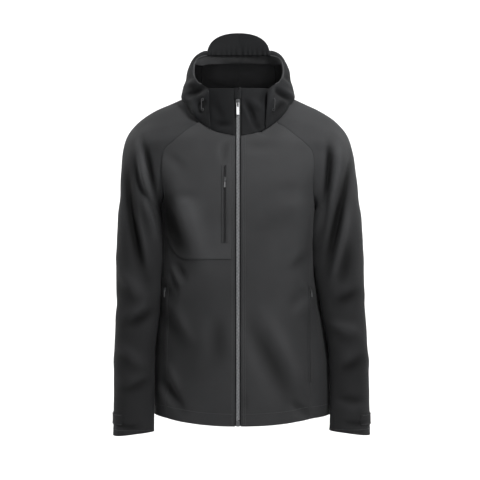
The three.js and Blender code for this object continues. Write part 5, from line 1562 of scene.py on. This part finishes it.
def cloth_material(name, base, light, threads, bump, sheen, shine=0.2, shade_fall=0.0):
    """A woven cloth: colour with painted shade and bump from the groups, with sheen for the loose fibres on
    top.
    """
    material, tree, shader, coordinates = plain_material(name)
    woven = node(tree, "ShaderNodeGroup", {"Threads": threads, "Map": coordinates["UV"]}, node_tree=weave)
    # painted shade: the crease depth kept on the points darkens the colour in troughs
    crease_shade = node(tree, "ShaderNodeAttribute", {}, attribute_name="crease_shade")
    tone_and_shade = node(tree, "ShaderNodeGroup", {
        "Base": (*base, 1), "Light": (*light, 1), "ShadeFall": shade_fall, "Place": coordinates["Object"],
        "Heather": woven["Heather"], "CreaseShade": crease_shade["Fac"],
    }, node_tree=cloth_tone_and_shade)
    relief = node(tree, "ShaderNodeBump", {"Strength": bump, "Distance": 0.0004, "Height": woven["Height"]})
    feed(tree, shader, {
        "Base Color": tone_and_shade["Color"], "Roughness": tone_and_shade["Roughness"], "Normal": relief["Normal"],
        "Specular IOR Level": shine, "Sheen Weight": sheen, "Sheen Roughness": 0.5,
    })
    return material


def hard_material(name, base, light, rough, metallic, scale):
    """Moulded plastic or metal: a fine grain in colour, roughness and bump."""
    material, tree, shader, coordinates = plain_material(name)
    grain = node(tree, "ShaderNodeTexNoise", {"Scale": scale, "Detail": 4, "Vector": coordinates["Object"]})
    blend = node(tree, "ShaderNodeMix", {"A": (*base, 1), "B": (*light, 1), "Factor": grain["Fac"]},
                 data_type="RGBA")
    relief = node(tree, "ShaderNodeBump", {"Strength": 0.15, "Distance": 0.0002, "Height": grain["Fac"]})
    feed(tree, shader, {
        "Base Color": blend["Result"], "Normal": relief["Normal"], "Metallic": metallic,
        "Roughness": maths(tree, "ADD", rough - 0.1, product(tree, grain["Fac"], 0.2)),
    })
    return material


# %% Materials
# The shell, overlay, sleeve and collar materials are one softshell in lit and shaded copies: the shell has
# a mild painted falloff lower down, the chest overlay is a little lighter without one, the sleeves have a
# strong painted falloff, and the collar, hood, peak and garage take a darker, less glossy copy as painted
# shade.
shell_cloth = cloth_material(
    "shell_cloth", (0.024, 0.0245, 0.0255), (0.040, 0.0405, 0.042), 900, 0.35, 0.02, 0.2, 0.22)
overlay_lit_cloth = cloth_material(
    "overlay_lit_cloth", (0.025, 0.0255, 0.0265), (0.042, 0.0425, 0.044), 900, 0.35, 0.02)
sleeve_cloth = cloth_material(
    "sleeve_cloth", (0.023, 0.0235, 0.0245), (0.038, 0.0385, 0.040), 900, 0.35, 0.01, 0.12, 0.5)
shaded_collar_hood_cloth = cloth_material(
    "shaded_collar_hood_cloth", (0.0075, 0.0078, 0.0084), (0.0135, 0.0139, 0.0148), 900, 0.35, 0.005, 0.09)
# The lining is lighter than the shell; part of that is painted light, so the shaded inside of the hood
# shows. The band inside the hood's edge is the same lining in a darker copy: painted shade.
lining_cloth = cloth_material(
    "lining_cloth", (0.062, 0.0625, 0.065), (0.092, 0.093, 0.096), 600, 0.6, 0.02)
band_shaded_cloth = cloth_material(
    "band_shaded_cloth", (0.036, 0.0365, 0.038), (0.056, 0.0566, 0.058), 700, 0.6, 0.02)
pocket_tape = cloth_material(
    "pocket_tape", (0.020, 0.0203, 0.0213), (0.032, 0.0324, 0.0335), 1500, 0.5, 0.01)
tape_cloth = cloth_material(
    "tape_cloth", (0.006, 0.0061, 0.0065), (0.012, 0.0122, 0.013), 1500, 0.5, 0.01)
thread = hard_material("thread", (0.03, 0.0305, 0.032), (0.06, 0.061, 0.063), 0.7, 0, 2500)
zip_plastic = hard_material("zip_plastic", (0.16, 0.164, 0.172), (0.28, 0.284, 0.292), 0.45, 0, 900)
pull_metal = hard_material("pull_metal", (0.62, 0.63, 0.64), (0.80, 0.81, 0.82), 0.35, 0.3, 700)
pocket_pull = hard_material("pocket_pull", (0.10, 0.101, 0.104), (0.17, 0.172, 0.176), 0.4, 0.4, 700)
slider_metal = hard_material("slider_metal", (0.05, 0.051, 0.053), (0.09, 0.092, 0.095), 0.38, 0.6, 900)
cord_braid = hard_material("cord_braid", (0.012, 0.012, 0.013), (0.03, 0.03, 0.032), 0.8, 0, 2500)
paper = hard_material("paper", (0.86, 0.86, 0.865), (0.90, 0.90, 0.905), 0.9, 0, 3)

by_slot = {"sleeve": sleeve_cloth, "tape": tape_cloth}
for name, piece in cloth_pieces.items():
    outer = by_slot.get(piece["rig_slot"], shell_cloth)
    # painted shade: collar, hood, peak and garage take the darker copy, the chest overlay the lighter one
    if name.startswith(("shell_collar", "shell_hood", "peak", "garage")):
        outer = shaded_collar_hood_cloth
    if name == "chest_overlay":
        outer = overlay_lit_cloth
    piece.data.materials.append(outer)
    piece.data.materials.append(band_shaded_cloth if name == "hood_band" else lining_cloth)
coils = {name: bpy.data.objects[name] for name in ("chest_coil", "hand_coil_right", "hand_coil_left")}
finishes = ((rims, shell_cloth), (seam_threads, thread), ([zip_teeth], zip_plastic), ([sweep], paper))
for pieces, finish in finishes:
    for piece in pieces:
        piece.data.materials.append(finish)
for name, piece in coils.items():
    piece.data.materials.append(pocket_tape if name == "chest_coil" else tape_cloth)
for name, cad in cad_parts.items():
    finish = None
    if name == "zip_pull":
        finish = pull_metal
    elif name.endswith("_pull"):
        finish = pocket_pull
    elif name.endswith("_slider") or name.startswith("eyelet") or name == "zip_box":
        finish = slider_metal
    elif name.startswith("hood_cord"):
        finish = cord_braid
    if finish:
        cad.data.materials.clear()
        cad.data.materials.append(finish)
print("materials set")
